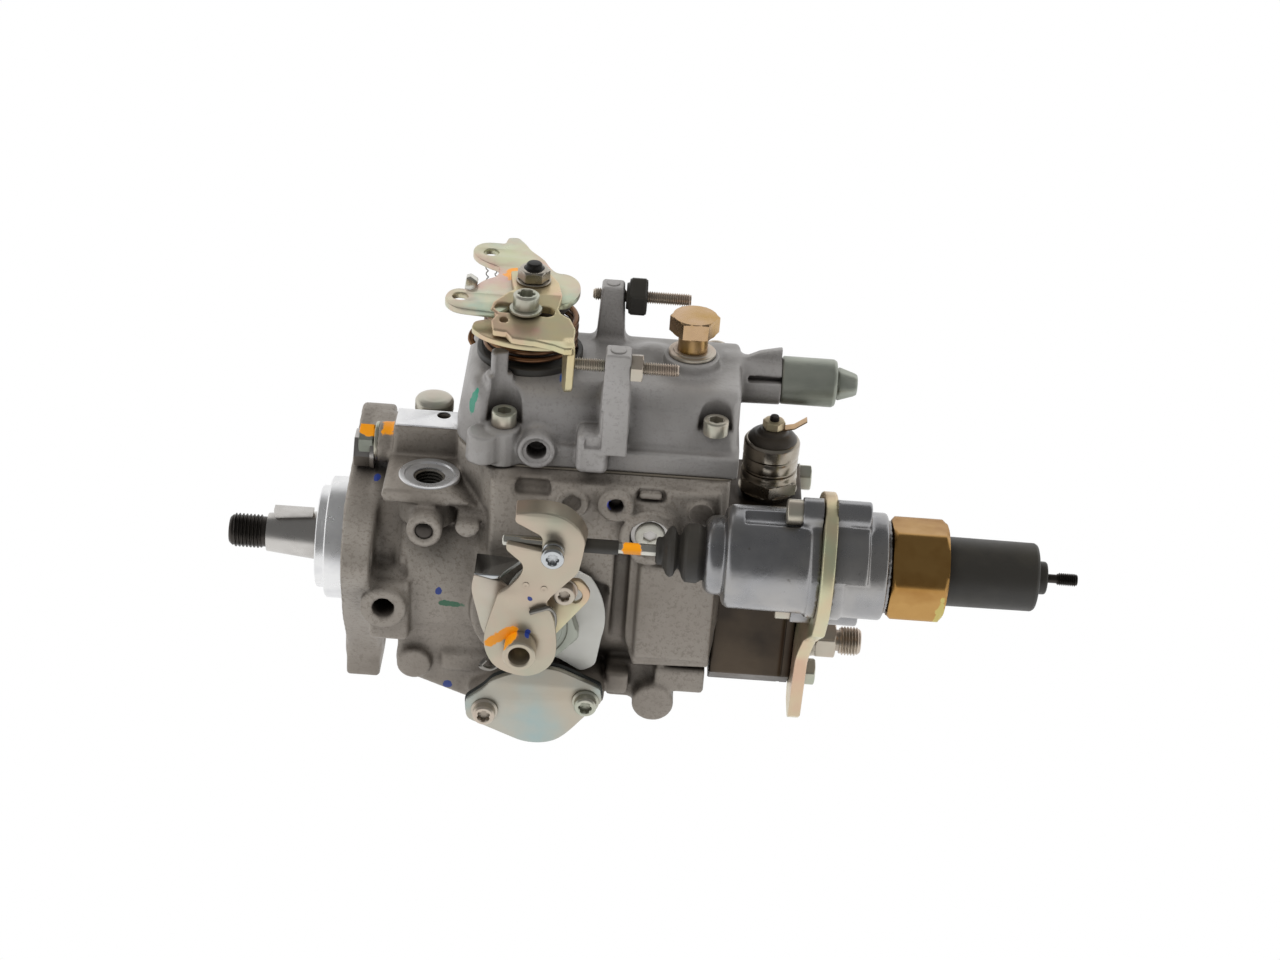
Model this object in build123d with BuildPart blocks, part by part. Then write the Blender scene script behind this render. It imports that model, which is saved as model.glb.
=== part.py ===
from build123d import *
import os
from math import cos, sin, radians

os.makedirs("parts", exist_ok=True)

# Frame: origin where the drive axis meets the mounting face, X towards the delivery outlets, Z up, mm

# Driving sizes of the drive end
pilot_d = 50.0
pilot_len = 5.0
nose_d = 42.0
nose_len = 4.0
flange_t = 17.0
mount_circle_r = 47.0
mount_hole_d = 8.5
mount_angles = (39.0, 159.0, 279.0)
nut_room = 13.0
shaft_d = 20.0
taper_small_d = 15.7
taper_len = 21.6
thread_d = 14.0
thread_len = 15.5
key_w = 4.0
key_d = 16.0
slip = 0.03
gap = 0.3

# Driving sizes of the housing
side_bolt_y = 0.0
side_bolt_z = 43.0
valve_x = 36.0
valve_y = 21.0
valve_seat = 47.0
body_end = 153.0
body_r = 40.0
bore_r = 33.0
deck_z = 60.0
chamber_half = 27.0
cover_x0 = 51.5
cover_x1 = 157.0
cover_half = 36.0
cover_top = 91.0
cover_wall = 4.5
gasket_t = 0.6

# Inner parts along the drive axis
bush_wall = 2.0
bush_len = 20.0
pump_x = 28.0
pump_len = 14.0
pump_r = 29.0
pump_bore_r = 23.0
rotor_r = 20.5
pump_ecc = 2.3
disc_t = 4.0
gear_x = 47.0
gear_w = 8.0
gear_r = 25.0
governor_r = 15.0
governor_z = gear_r + governor_r + 1.0
ring_x = 76.0
ring_w = 15.0
ring_r = 27.0
roller_r = 5.0
roller_len = 9.0
roller_circle = 19.5
roller_x = ring_x + ring_w - 2.0
lobe_h = 2.4
cam_x = roller_x + roller_r + gap + lobe_h
cam_w = 4.5
bridge_x = cam_x + cam_w + 3.0
collar_x = 113.0
collar_w = 8.0
fulcrum_x = 118.0
fulcrum_z = 22.0
sleeve_end = 112.0
plunger_d = 10.0

# Timing device, across the pump under the roller ring
timing_x = 84.3
timing_z = -40.5
timing_face = 52.0
timing_plate_t = 2.6
timing_seal_t = 2.0
timing_half = timing_face - timing_plate_t - timing_seal_t
timing_bore_r = 9.5
timing_tilt = 10.5
timing_bolt = 20.5

# Hydraulic head
head_x1 = 186.0
head_half = 37.0
head_top = 34.0
head_bottom = -37.0
spigot_len = 13.0
outlet_circle = 28.0
outlet_angles = (231.0, 351.0, 111.0)
outlet_thread_d = 12.0
outlet_hex = 14.0

# Throttle lever pack
lever_x = 73.0
lever_y = 0.0
lever_shaft_d = 12.0
plate_t = 3.0
rear_plate_z = 116.3
front_plate_z = rear_plate_z + plate_t
joggle = 6.0
spring_r = 17.0
spring_wire = 2.4

# Cold start device
wax_y = -60.5
wax_z = 41.5
pivot_x = 77.7
pivot_z = -2.6
claw_x = 88.4
arm_face = 63.5
arm_t = 2.5
rod_d = 4.6
bracket_x = 189.0
bracket_t = 5.0

def save(builder, name):
    builder.part.label = name
    export_step(builder.part, f"parts/{name}.step")

def save_group(builders, name):
    group = Compound(label=name, children=[builder.part for builder in builders])
    export_step(group, f"parts/{name}.step")

def coil(radius, wire, pitch, height):
    with BuildPart() as spring:
        with BuildLine() as path:
            Helix(pitch, height, radius)
        with BuildSketch(Plane(origin=path.line @ 0, z_dir=path.line % 0)):
            RegularPolygon(wire / 2, 6)
        sweep(path=path.line, is_frenet=True)
    return spring.part

def at_angle(radius, angle):
    return (radius * cos(radians(angle)), radius * sin(radians(angle)))

side = Plane.XZ
lobe_points = [at_angle(mount_circle_r, a) for a in mount_angles]
lobe_radii = (12.5, 8.0, 12.5)

# Housing: die cast body with flange, round belly, deck for the cover and the timing cross bore
with BuildPart() as housing:
    with BuildSketch(Plane.YZ) as flange_outline:
        Circle(33)
        for point, radius in zip(lobe_points, lobe_radii):
            with Locations(point):
                Circle(radius)
        make_hull()
    extrude(amount=flange_t)
    chamfer(faces().sort_by(Axis.X)[0].edges(), 2.5)
    with BuildSketch(Plane.YZ) as nose:
        Circle(pilot_d / 2)
    extrude(amount=-pilot_len)
    with BuildSketch(Plane.YZ.offset(-pilot_len)) as nose_step:
        Circle(nose_d / 2)
    extrude(amount=-nose_len)
    # foot under the flange
    with BuildSketch(Plane.XY.offset(-66)) as foot:
        with Locations((flange_t / 2 + 0.6, lobe_points[2][0])):
            RectangleRounded(flange_t - 1.2, 22, 3)
    extrude(amount=20)
    # neck between the flange and the belly
    with BuildSketch(Plane.YZ.offset(flange_t)) as neck:
        Circle(36)
    extrude(amount=14)
    with BuildSketch(Plane.YZ.offset(flange_t + 12)) as belly:
        Circle(body_r)
    extrude(amount=body_end - flange_t - 12)
    # upper chest that carries the cover
    with BuildSketch(Plane.XY.offset(0)) as chest:
        with Locations(((cover_x0 + body_end) / 2, 0)):
            RectangleRounded(body_end - cover_x0, 2 * cover_half, 6)
    extrude(amount=deck_z)
    # side cheeks that thicken the chest below the gasket
    with BuildSketch(side.offset(-42)) as cheeks:
        with BuildLine():
            Polyline((62, 20), (62, 56), (150, 56), (153, 40), (153, -24), (120, -24), (110, 10), close=True)
        make_face()
    extrude(amount=84)
    # raised square pad under the cold start device
    with BuildSketch(side.offset(43.5)) as pad:
        with Locations((137, 2)):
            RectangleRounded(30, 42, 2)
    extrude(amount=-20)
    # inlet block ahead of the cover
    with BuildSketch(Plane.XY.offset(20)) as inlet_block:
        with Locations((34.5, -3)):
            RectangleRounded(27, 14, 1)
    extrude(amount=39.5)
    with BuildSketch(Plane.YZ.offset(13)) as bolt_boss:
        with Locations((side_bolt_y, side_bolt_z)):
            Circle(8)
    extrude(amount=12)
    with BuildSketch(side.offset(12)) as inlet_ledge:
        with BuildLine():
            Polyline((20, 30), (20, 46), (50, 47), (58, 43), (58, 36), close=True)
        make_face()
    extrude(amount=26)
    # rear shoulder of the drive end, under the pressure valve
    with BuildSketch(Plane.YZ.offset(10)) as shoulder:
        with Locations((28, 30)):
            RectangleRounded(26, 2 * (valve_seat - 30), 5)
    extrude(amount=44)
    # timing device cross tube with ears for its covers
    with BuildSketch(side.offset(timing_half)) as timing_tube:
        with Locations((timing_x, timing_z)):
            Circle(15.5)
        for s in (-1, 1):
            with Locations((timing_x + s * timing_bolt * cos(radians(timing_tilt)),
                            timing_z + s * timing_bolt * sin(radians(timing_tilt)))):
                Circle(7)
        make_hull()
    extrude(amount=-2 * timing_half)
    # sloping skirt from the neck to the timing tube
    with BuildSketch(side.offset(36)) as skirt:
        with BuildLine():
            Polyline((26, -20), (26, -36), (58, -52), (70, -52), (70, -20), close=True)
        make_face()
    extrude(amount=-72)
    # boss at the lower head end
    with BuildSketch(side.offset(40)) as lower_boss:
        with Locations((131.5, -42)):
            Circle(7.5)
        with Locations((140, -37)):
            Rectangle(24, 12)
    extrude(amount=-76)
    # round seat of the cold start shaft
    with BuildSketch(side.offset(44)) as shaft_seat:
        with Locations((pivot_x + 2, pivot_z)):
            Circle(30)
    extrude(amount=-20)
    # small bosses on the near side
    for x, z, r, y in ((22, -2.5, 9.5, 46), (37.1, 33, 6.6, 45), (53.8, 36, 4.6, 45),
                       (93.9, 49.8, 6.2, 44.5), (110.9, 50.6, 6.8, 45.5), (125, 37, 11.4, 45.5),
                       (143.9, 48.6, 4.9, 44)):
        with BuildSketch(side.offset(y)) as boss:
            with Locations((x, z)):
                Circle(r)
        extrude(amount=-18)
    # cavities
    with BuildSketch(Plane.YZ.offset(-pilot_len - nose_len)) as shaft_bore:
        Circle(shaft_d / 2 + bush_wall)
    extrude(amount=pump_x + pilot_len + nose_len, mode=Mode.SUBTRACT)
    with BuildSketch(Plane.YZ.offset(-pilot_len - nose_len)) as seal_bore:
        Circle(16)
    extrude(amount=8, mode=Mode.SUBTRACT)
    with BuildSketch(Plane.YZ.offset(pump_x)) as pump_bore:
        Circle(pump_r)
    extrude(amount=gear_x - pump_x, mode=Mode.SUBTRACT)
    with BuildSketch(Plane.YZ.offset(gear_x - 1)) as ring_bore:
        Circle(ring_r + gap)
    extrude(amount=60, mode=Mode.SUBTRACT)
    with BuildSketch(Plane.YZ.offset(ring_x + ring_w + 3)) as main_bore:
        Circle(bore_r)
    extrude(amount=80, mode=Mode.SUBTRACT)
    with BuildSketch(Plane.XY.offset(6)) as chamber:
        with Locations(((cover_x0 + 6 + body_end - 8) / 2, 0)):
            Rectangle(body_end - 8 - cover_x0 - 6, 2 * chamber_half)
    extrude(amount=80, mode=Mode.SUBTRACT)
    # pocket for the governor gear ahead of the chamber
    with BuildSketch(Plane.YZ.offset(gear_x - 1)) as governor_pocket:
        with Locations((0, governor_z - 1)):
            RectangleRounded(2 * governor_r + 4, 2 * governor_r + 4, 5)
    extrude(amount=20, mode=Mode.SUBTRACT)
    with BuildSketch(Plane.YZ.offset(gear_x - 8)) as governor_seat:
        with Locations((0, governor_z)):
            Circle(4)
    extrude(amount=20, mode=Mode.SUBTRACT)
    with BuildSketch(side.offset(timing_face)) as timing_bore:
        with Locations((timing_x, timing_z)):
            Circle(timing_bore_r + slip)
    extrude(amount=-2 * timing_face, mode=Mode.SUBTRACT)
    # slot that lets the timing pin reach the piston
    with BuildSketch(Plane.XY.offset(timing_z)) as pin_slot:
        with Locations((timing_x, 0)):
            SlotOverall(24, 10, rotation=90)
    extrude(amount=30, mode=Mode.SUBTRACT)
    # drilled and tapped holes on the near side
    for x, z, d, y, depth in ((22, -2.5, 8.5, 46, 12), (37.1, 33, 6, 45, 5), (125, 37, 15, 45.5, 6),
                              (93.9, 49.8, 7, 44.5, 4), (110.9, 50.6, 6, 45.5, 7)):
        with BuildSketch(side.offset(y)) as hole:
            with Locations((x, z)):
                Circle(d / 2)
        extrude(amount=-depth, mode=Mode.SUBTRACT)
    # cold start shaft bore
    with BuildSketch(side.offset(46)) as lever_bore:
        with Locations((pivot_x, pivot_z)):
            Circle(9)
    extrude(amount=-22, mode=Mode.SUBTRACT)
    # inlet port, side bolt and mounting holes
    with BuildSketch(Plane.XY.offset(52)) as port:
        with Locations((37, -25)):
            Circle(6)
    extrude(amount=-18, mode=Mode.SUBTRACT)
    with BuildSketch(Plane.YZ.offset(13)) as bolt_hole:
        with Locations((side_bolt_y, side_bolt_z)):
            Circle(4)
    extrude(amount=16, mode=Mode.SUBTRACT)
    with BuildSketch(Plane.YZ) as mounting_holes:
        for point in lobe_points:
            with Locations(point):
                Circle(mount_hole_d / 2)
    extrude(amount=flange_t, mode=Mode.SUBTRACT)
    # room for the nuts behind the flange
    with BuildSketch(Plane.YZ.offset(flange_t)) as nut_rooms:
        with Locations(*lobe_points):
            Circle(8)
    extrude(amount=nut_room, mode=Mode.SUBTRACT)
save(housing, "housing")

# Governor cover: hollow cast lid with lever hub, overflow boss, stop posts and screw pockets
screw_y = 31.5
cover_screws_at = [(65.6, -screw_y), (147.0, -screw_y), (65.6, screw_y), (147.0, screw_y)]
cover_seat = {65.6: 76.0, 147.0: 78.5}
cover_z0 = deck_z + gasket_t
overflow_x, overflow_y = 136.5, -1.0
overflow_seat = cover_top + 5.5
hub_top = 108.0
front_post_y = -38.0
rear_post_y = 20.0
front_stop_z = 107.5
rear_stop_z = 111.0
full_load_y, full_load_z = 10.0, 82.0
with BuildPart() as governor_cover:
    with BuildSketch(Plane.XY.offset(cover_z0)) as cover_base:
        with Locations(((cover_x0 + cover_x1) / 2, 0)):
            RectangleRounded(cover_x1 - cover_x0, 2 * cover_half, 7)
    extrude(amount=cover_top - cover_z0)
    fillet(faces().sort_by(Axis.Z)[-1].edges(), 4)
    # slanted corner at the near left
    with BuildSketch(side.offset(60)) as corner_cut:
        with BuildLine():
            Polyline((48, 74), (60, 74), (73, 95), (48, 95), close=True)
        make_face()
    extrude(amount=-38, mode=Mode.SUBTRACT)
    for x, y, r, z in ((lever_x, lever_y, 18.6, 96.0), (lever_x, lever_y, 10.0, hub_top),
                       (overflow_x, overflow_y, 11.0, overflow_seat), (121.5, 6.0, 9.0, 92.5)):
        with BuildSketch(Plane.XY.offset(cover_top - 3)) as raised:
            with Locations((x, y)):
                Circle(r)
        extrude(amount=z - cover_top + 3)
    # stop screw posts
    with BuildSketch(side.offset(-front_post_y + 4)) as front_post:
        with BuildLine():
            Polyline((102.5, 78), (112.5, 78), (112.5, 114), (102.5, 114), close=True)
        make_face()
    extrude(amount=-8)
    with BuildSketch(side.offset(-rear_post_y + 4)) as rear_post:
        with BuildLine():
            Polyline((98.5, 88), (109.5, 88), (108.5, 116), (99.5, 116), close=True)
        make_face()
    extrude(amount=-8)
    # stop pin stub, blank pillar, bleed boss and lug on the near side
    for x, y, r, z0, z1 in ((62.5, -20, 5, 86, 92), (62.5, -20, 2.9, 92, 101), (59.2, -36, 6, 62, 74.5)):
        with BuildSketch(Plane.XY.offset(z0)) as stub:
            with Locations((x, y)):
                Circle(r)
        extrude(amount=z1 - z0)
    with BuildSketch(side.offset(39)) as bleed_boss:
        with Locations((78.9, 68.8)):
            Circle(6.8)
    extrude(amount=-20)
    with BuildSketch(Plane.XY.offset(62)) as lug:
        with Locations((100.4, -37)):
            RectangleRounded(12.5, 12, 2.5)
    extrude(amount=17)
    # full load boss on the outlet end
    with BuildSketch(Plane.YZ.offset(cover_x1 - 4)) as load_boss:
        with Locations((full_load_y, full_load_z - 1)):
            Circle(9.5)
    extrude(amount=20)
    with BuildSketch(side.offset(-full_load_y + 1.5)) as load_rib:
        with BuildLine():
            Polyline((cover_x1 - 4, 84), (cover_x1 + 15, 84), (cover_x1 + 15, 94), (cover_x1 - 4, 89),
                     close=True)
        make_face()
    extrude(amount=-3)
    # hollow inside
    with BuildSketch(Plane.XY.offset(cover_z0)) as cover_hollow:
        with Locations(((cover_x0 + body_end) / 2 + 3, 0)):
            RectangleRounded(body_end - cover_x0 - 20, 2 * chamber_half - 2, 4)
    extrude(amount=cover_top - cover_wall - cover_z0, mode=Mode.SUBTRACT)
    # screw pockets and clearance holes
    for x, y in cover_screws_at:
        with BuildSketch(Plane.XY.offset(cover_seat[x])) as pocket:
            with Locations((x, y - 3 if y < 0 else y + 3)):
                RectangleRounded(13, 16, 6)
        extrude(amount=30, mode=Mode.SUBTRACT)
        with BuildSketch(Plane.XY.offset(cover_z0 - 1)) as screw_hole:
            with Locations((x, y)):
                Circle(3.3)
        extrude(amount=30, mode=Mode.SUBTRACT)
    # lever shaft bore, overflow thread, blind holes, bleed hole
    with BuildSketch(Plane.XY.offset(cover_z0)) as lever_bore:
        with Locations((lever_x, lever_y)):
            Circle(lever_shaft_d / 2 + slip)
    extrude(amount=hub_top - cover_z0, mode=Mode.SUBTRACT)
    with BuildSketch(Plane.XY.offset(cover_top - 8)) as overflow_hole:
        with Locations((overflow_x, overflow_y)):
            Circle(6)
    extrude(amount=20, mode=Mode.SUBTRACT)
    for x, y in ((94.5, 29.0), (146.5, 26.5)):
        with BuildSketch(Plane.XY.offset(cover_top - 8)) as blind:
            with Locations((x, y)):
                Circle(2.6)
        extrude(amount=20, mode=Mode.SUBTRACT)
    with BuildSketch(side.offset(39)) as bleed_hole:
        with Locations((78.9, 68.8)):
            Circle(3.8)
    extrude(amount=-9, mode=Mode.SUBTRACT)
    for y, z in ((front_post_y, front_stop_z), (rear_post_y, rear_stop_z)):
        with BuildSketch(Plane.YZ.offset(96)) as stop_thread:
            with Locations((y, z)):
                Circle(2.5)
        extrude(amount=20, mode=Mode.SUBTRACT)
    with BuildSketch(Plane.YZ.offset(cover_x1 - 8)) as load_thread:
        with Locations((full_load_y, full_load_z)):
            Circle(4)
    extrude(amount=40, mode=Mode.SUBTRACT)
save(governor_cover, "governor_cover")

# Gasket between housing and cover
with BuildPart() as cover_gasket:
    with BuildSketch(Plane.XY.offset(deck_z)) as gasket_face:
        with Locations(((cover_x0 + body_end) / 2, 0)):
            RectangleRounded(body_end - cover_x0 - 1, 2 * cover_half - 1, 6)
        with Locations(((cover_x0 + body_end) / 2 - 1, 0)):
            Rectangle(body_end - cover_x0 - 14, 2 * chamber_half, mode=Mode.SUBTRACT)
        with Locations(*cover_screws_at):
            Circle(3.3, mode=Mode.SUBTRACT)
    extrude(amount=gasket_t)
save(cover_gasket, "cover_gasket")

# Cover screws with hexagon socket
with BuildPart() as cover_screws:
    for x, y in cover_screws_at:
        with BuildSketch(Plane.XY.offset(deck_z + gasket_t)) as shank:
            with Locations((x, y)):
                Circle(3)
        extrude(amount=cover_seat[x] - deck_z - gasket_t)
        with BuildSketch(Plane.XY.offset(cover_seat[x])) as head:
            with Locations((x, y)):
                Circle(5)
        extrude(amount=6)
        with BuildSketch(Plane.XY.offset(cover_seat[x] + 6)) as socket:
            with Locations((x, y)):
                RegularPolygon(2.5, 6, major_radius=False)
        extrude(amount=-3, mode=Mode.SUBTRACT)
save(cover_screws, "cover_screws")

# Drive shaft: thread, taper with keyway, journal, coupling end
thread_x = -taper_len - nose_len - pilot_len - thread_len
taper_x = thread_x + thread_len
journal_x = taper_x + taper_len
with BuildPart() as drive_shaft:
    with BuildSketch(Plane.XZ) as shaft_profile:
        with BuildLine():
            Polyline((thread_x, 0), (thread_x, thread_d / 2 - 1), (thread_x + 1, thread_d / 2),
                     (taper_x, thread_d / 2), (taper_x, taper_small_d / 2), (journal_x, shaft_d / 2),
                     (ring_x - 6, shaft_d / 2), (ring_x - 6, 0), close=True)
        make_face()
    revolve(axis=Axis.X)
    with BuildSketch(Plane.YZ.offset(ring_x - 6)) as claws:
        for s in (-1, 1):
            with Locations((s * 6.5, 0)):
                Rectangle(6, 6)
    extrude(amount=8)
    with BuildSketch(Plane.XZ.offset(-key_w / 2)) as keyway:
        with Locations((taper_x + taper_len / 2, 11.6)):
            Circle(key_d / 2)
    extrude(amount=key_w, mode=Mode.SUBTRACT)

# Woodruff key in the taper
with BuildPart() as woodruff_key:
    with BuildSketch(Plane.XZ.offset(-key_w / 2)) as key_disc:
        with Locations((taper_x + taper_len / 2, 11.6)):
            Circle(key_d / 2)
            with Locations((0, 5.2)):
                Rectangle(key_d + 2, 9.6, mode=Mode.SUBTRACT)
    extrude(amount=key_w)
save(woodruff_key, "woodruff_key")

# Bearing bush and lip seal of the drive shaft
with BuildPart() as shaft_bush:
    with BuildSketch(Plane.YZ) as bush_ring:
        Circle(shaft_d / 2 + bush_wall)
        Circle(shaft_d / 2 + slip, mode=Mode.SUBTRACT)
    extrude(amount=bush_len)
with BuildPart() as shaft_seal:
    with BuildSketch(Plane.YZ.offset(-pilot_len - nose_len + 0.5)) as seal_ring:
        Circle(16)
        Circle(shaft_d / 2 + gap, mode=Mode.SUBTRACT)
    extrude(amount=7)
save_group([shaft_bush, shaft_seal], "shaft_bearing")

# Vane feed pump: eccentric ring, rotor, four vanes, cover disc
vane_w = 2.4
with BuildPart() as pump_ring:
    with BuildSketch(Plane.YZ.offset(pump_x)) as ring_face:
        Circle(pump_r)
        with Locations((0, pump_ecc)):
            Circle(pump_bore_r, mode=Mode.SUBTRACT)
    extrude(amount=pump_len)
with BuildPart() as pump_rotor:
    with BuildSketch(Plane.YZ.offset(pump_x + gap)) as rotor_face:
        Circle(rotor_r - gap)
        Circle(shaft_d / 2, mode=Mode.SUBTRACT)
        with PolarLocations(rotor_r - 4, 4, start_angle=45):
            Rectangle(8, vane_w, mode=Mode.SUBTRACT)
    extrude(amount=pump_len - 2 * gap)
with BuildPart() as pump_vanes:
    with BuildSketch(Plane.YZ.offset(pump_x + gap)) as vane_faces:
        with PolarLocations(rotor_r - 4.3, 4, start_angle=45):
            Rectangle(7, vane_w)
    extrude(amount=pump_len - 2 * gap)
save_group([pump_rotor, pump_vanes], "pump_rotor")
with BuildPart() as pump_disc:
    with BuildSketch(Plane.YZ.offset(pump_x + pump_len)) as disc_face:
        Circle(pump_r)
        Circle(shaft_d / 2 + gap, mode=Mode.SUBTRACT)
    extrude(amount=disc_t)
save_group([pump_ring, pump_disc], "pump_ring")

# Governor drive: toothed wheel on the shaft and the wheel of the flyweight cage
def toothed(radius, teeth, bore, width, x, y, z, phase):
    with BuildPart() as wheel:
        with BuildSketch(Plane.YZ.offset(x)) as blank:
            with Locations((y, z)):
                Circle(radius - 1.3)
                with PolarLocations(radius - 0.9, teeth, start_angle=phase):
                    Trapezoid(2.0, 2.6, 75, rotation=-90)
                Circle(bore, mode=Mode.SUBTRACT)
        extrude(amount=width)
    return wheel

drive_teeth = 30
governor_teeth = 18
drive_gear = toothed(gear_r, drive_teeth, shaft_d / 2, gear_w, gear_x, 0, 0, 90)
save(drive_gear, "drive_gear")
governor_gear = toothed(governor_r, governor_teeth, 4 + slip, gear_w, gear_x, 0, governor_z, 80)

# Governor: shaft, flyweight cage with four weights, sliding sleeve
governor_len = 66.0
with BuildPart() as governor_shaft:
    with BuildSketch(Plane.YZ.offset(gear_x - 8)) as governor_pin:
        with Locations((0, governor_z)):
            Circle(4)
    extrude(amount=governor_len)
with BuildPart() as flyweight_cage:
    with BuildSketch(Plane.YZ.offset(gear_x + gear_w)) as cage_plate:
        with Locations((0, governor_z)):
            Circle(12)
            Circle(4 + slip, mode=Mode.SUBTRACT)
    extrude(amount=2)
    with BuildSketch(Plane.YZ.offset(gear_x + gear_w + 2)) as cage_wall:
        with Locations((0, governor_z)):
            Circle(12)
            Circle(10.8, mode=Mode.SUBTRACT)
            with PolarLocations(12, 4):
                Rectangle(6, 9, mode=Mode.SUBTRACT)
    extrude(amount=11)
with BuildPart() as flyweights:
    for k in range(4):
        with BuildSketch(Plane.YZ.offset(gear_x + gear_w + 2.4)) as weight:
            with Locations((0, governor_z)):
                with PolarLocations(9.6, 1, start_angle=90 * k):
                    Rectangle(3.6, 7)
        extrude(amount=9)
save_group([governor_gear, flyweight_cage, flyweights], "governor_cage")
with BuildPart() as governor_sleeve:
    with BuildSketch(Plane.YZ.offset(gear_x + gear_w + 3)) as sleeve_ring:
        with Locations((0, governor_z)):
            Circle(6.4)
            Circle(4 + slip, mode=Mode.SUBTRACT)
    extrude(amount=sleeve_end - gear_x - gear_w - 7)
    with BuildSketch(Plane.YZ.offset(sleeve_end - 4)) as sleeve_cap:
        with Locations((0, governor_z)):
            Circle(6.4)
    extrude(amount=2)
    with BuildSketch(Plane.YZ.offset(sleeve_end - 2)) as sleeve_nose:
        with Locations((0, governor_z)):
            Circle(2.5)
    extrude(amount=2)
    with BuildSketch(Plane.YZ.offset(gear_x + gear_w + 15)) as sleeve_collar:
        with Locations((0, governor_z)):
            Circle(9)
            Circle(4 + slip, mode=Mode.SUBTRACT)
    extrude(amount=3)
save(governor_sleeve, "governor_sleeve")

# Cross disc between shaft and cam plate
with BuildPart() as cross_disc:
    with BuildSketch(Plane.YZ.offset(ring_x - 6 + gap)) as cross_face:
        Circle(11)
        for y, z in ((6.5, 0), (-6.5, 0), (0, 6.5), (0, -6.5)):
            with Locations((y, z)):
                Rectangle(6 + 2 * slip, 6 + 2 * slip, mode=Mode.SUBTRACT)
    extrude(amount=6)
save_group([drive_shaft, cross_disc], "drive_shaft")

# Roller ring with its timing pin, and three rollers
roller_angles = [a + 60 for a in (30, 150, 270)]
with BuildPart() as roller_ring:
    with BuildSketch(Plane.YZ.offset(ring_x)) as roller_ring_face:
        Circle(ring_r)
        Circle(12.5, mode=Mode.SUBTRACT)
    extrude(amount=ring_w)
    with BuildSketch(Plane.YZ.offset(ring_x + ring_w)) as roller_pockets:
        with PolarLocations(roller_circle, 3, start_angle=roller_angles[0]):
            Rectangle(roller_len + 0.4, 2 * roller_r + 0.2)
    extrude(amount=-2 - roller_r - 0.2, mode=Mode.SUBTRACT)
with BuildPart() as timing_pin:
    with BuildSketch(Plane.XY.offset(timing_z - 4)) as pin_face:
        with Locations((timing_x, 0)):
            Circle(3)
    extrude(amount=-timing_z + 4 - ring_r + 0.5)
    with BuildSketch(Plane.YZ.offset(timing_x - 4)) as pin_top_cut:
        Circle(ring_r)
    extrude(amount=8, mode=Mode.SUBTRACT)
with BuildPart() as rollers:
    for angle in roller_angles:
        y, z = at_angle(roller_circle - roller_len / 2, angle)
        axis_plane = Plane(origin=(roller_x, y, z), x_dir=(1, 0, 0),
                           z_dir=(0, cos(radians(angle)), sin(radians(angle))))
        with BuildSketch(axis_plane) as roller_face:
            Circle(roller_r)
        extrude(amount=roller_len)
save_group([roller_ring, timing_pin, rollers], "roller_ring")

# Cam plate: face cams between the rollers, driving dogs, plunger pin
with BuildPart() as cam_plate:
    with BuildSketch(Plane.YZ.offset(cam_x)) as cam_face:
        Circle(26)
        Circle(plunger_d / 2 + 4, mode=Mode.SUBTRACT)
    extrude(amount=cam_w)
    with BuildSketch(Plane.YZ.offset(cam_x)) as cam_web:
        Circle(plunger_d / 2 + 4.5)
    extrude(amount=cam_w)
    with BuildSketch(Plane.YZ.offset(cam_x)) as cam_lobes:
        with PolarLocations(20.5, 3, start_angle=roller_angles[0] + 60):
            RectangleRounded(10, 11, 4)
    extrude(amount=-lobe_h)
    with BuildSketch(Plane.YZ.offset(cam_x)) as dogs:
        for s in (-1, 1):
            with Locations((0, s * 6.5)):
                Rectangle(6, 6)
    extrude(amount=-(cam_x - ring_x + 3))
save(cam_plate, "cam_plate")
with BuildPart() as plunger:
    with BuildSketch(Plane.YZ.offset(cam_x + cam_w)) as plunger_foot:
        Circle(8)
    extrude(amount=2.4)
    with BuildSketch(Plane.YZ.offset(cam_x + cam_w)) as plunger_rod:
        Circle(plunger_d / 2)
    extrude(amount=66)
save(plunger, "plunger")

# Spring bridge and the two plunger springs
bridge_springs_y = 20.0
bridge_t = 3.0
spring_len = body_end - spigot_len - bridge_x - bridge_t
with BuildPart() as spring_bridge:
    with BuildSketch(Plane.YZ.offset(bridge_x)) as bridge_face:
        SlotOverall(2 * bridge_springs_y + 14, 15)
        Circle(plunger_d / 2 + 0.5, mode=Mode.SUBTRACT)
    extrude(amount=bridge_t)
save(spring_bridge, "spring_bridge")
plunger_coil = coil(5, 1.8, 4.2, spring_len - 2)
with BuildPart() as plunger_springs:
    for s in (-1, 1):
        add(Pos(bridge_x + bridge_t + 1, s * bridge_springs_y, 0) * Rot(0, 90, 0) * plunger_coil)
save(plunger_springs, "plunger_springs")

# Control collar on the plunger
with BuildPart() as control_collar:
    with BuildSketch(Plane.YZ.offset(collar_x)) as collar_face:
        Circle(11)
        Circle(plunger_d / 2 + slip, mode=Mode.SUBTRACT)
    extrude(amount=collar_w)
    with BuildSketch(Plane.XY.offset(7)) as ball_hole:
        with Locations((collar_x + collar_w / 2, 0)):
            Circle(2.8)
    extrude(amount=8, mode=Mode.SUBTRACT)
save(control_collar, "control_collar")

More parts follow.
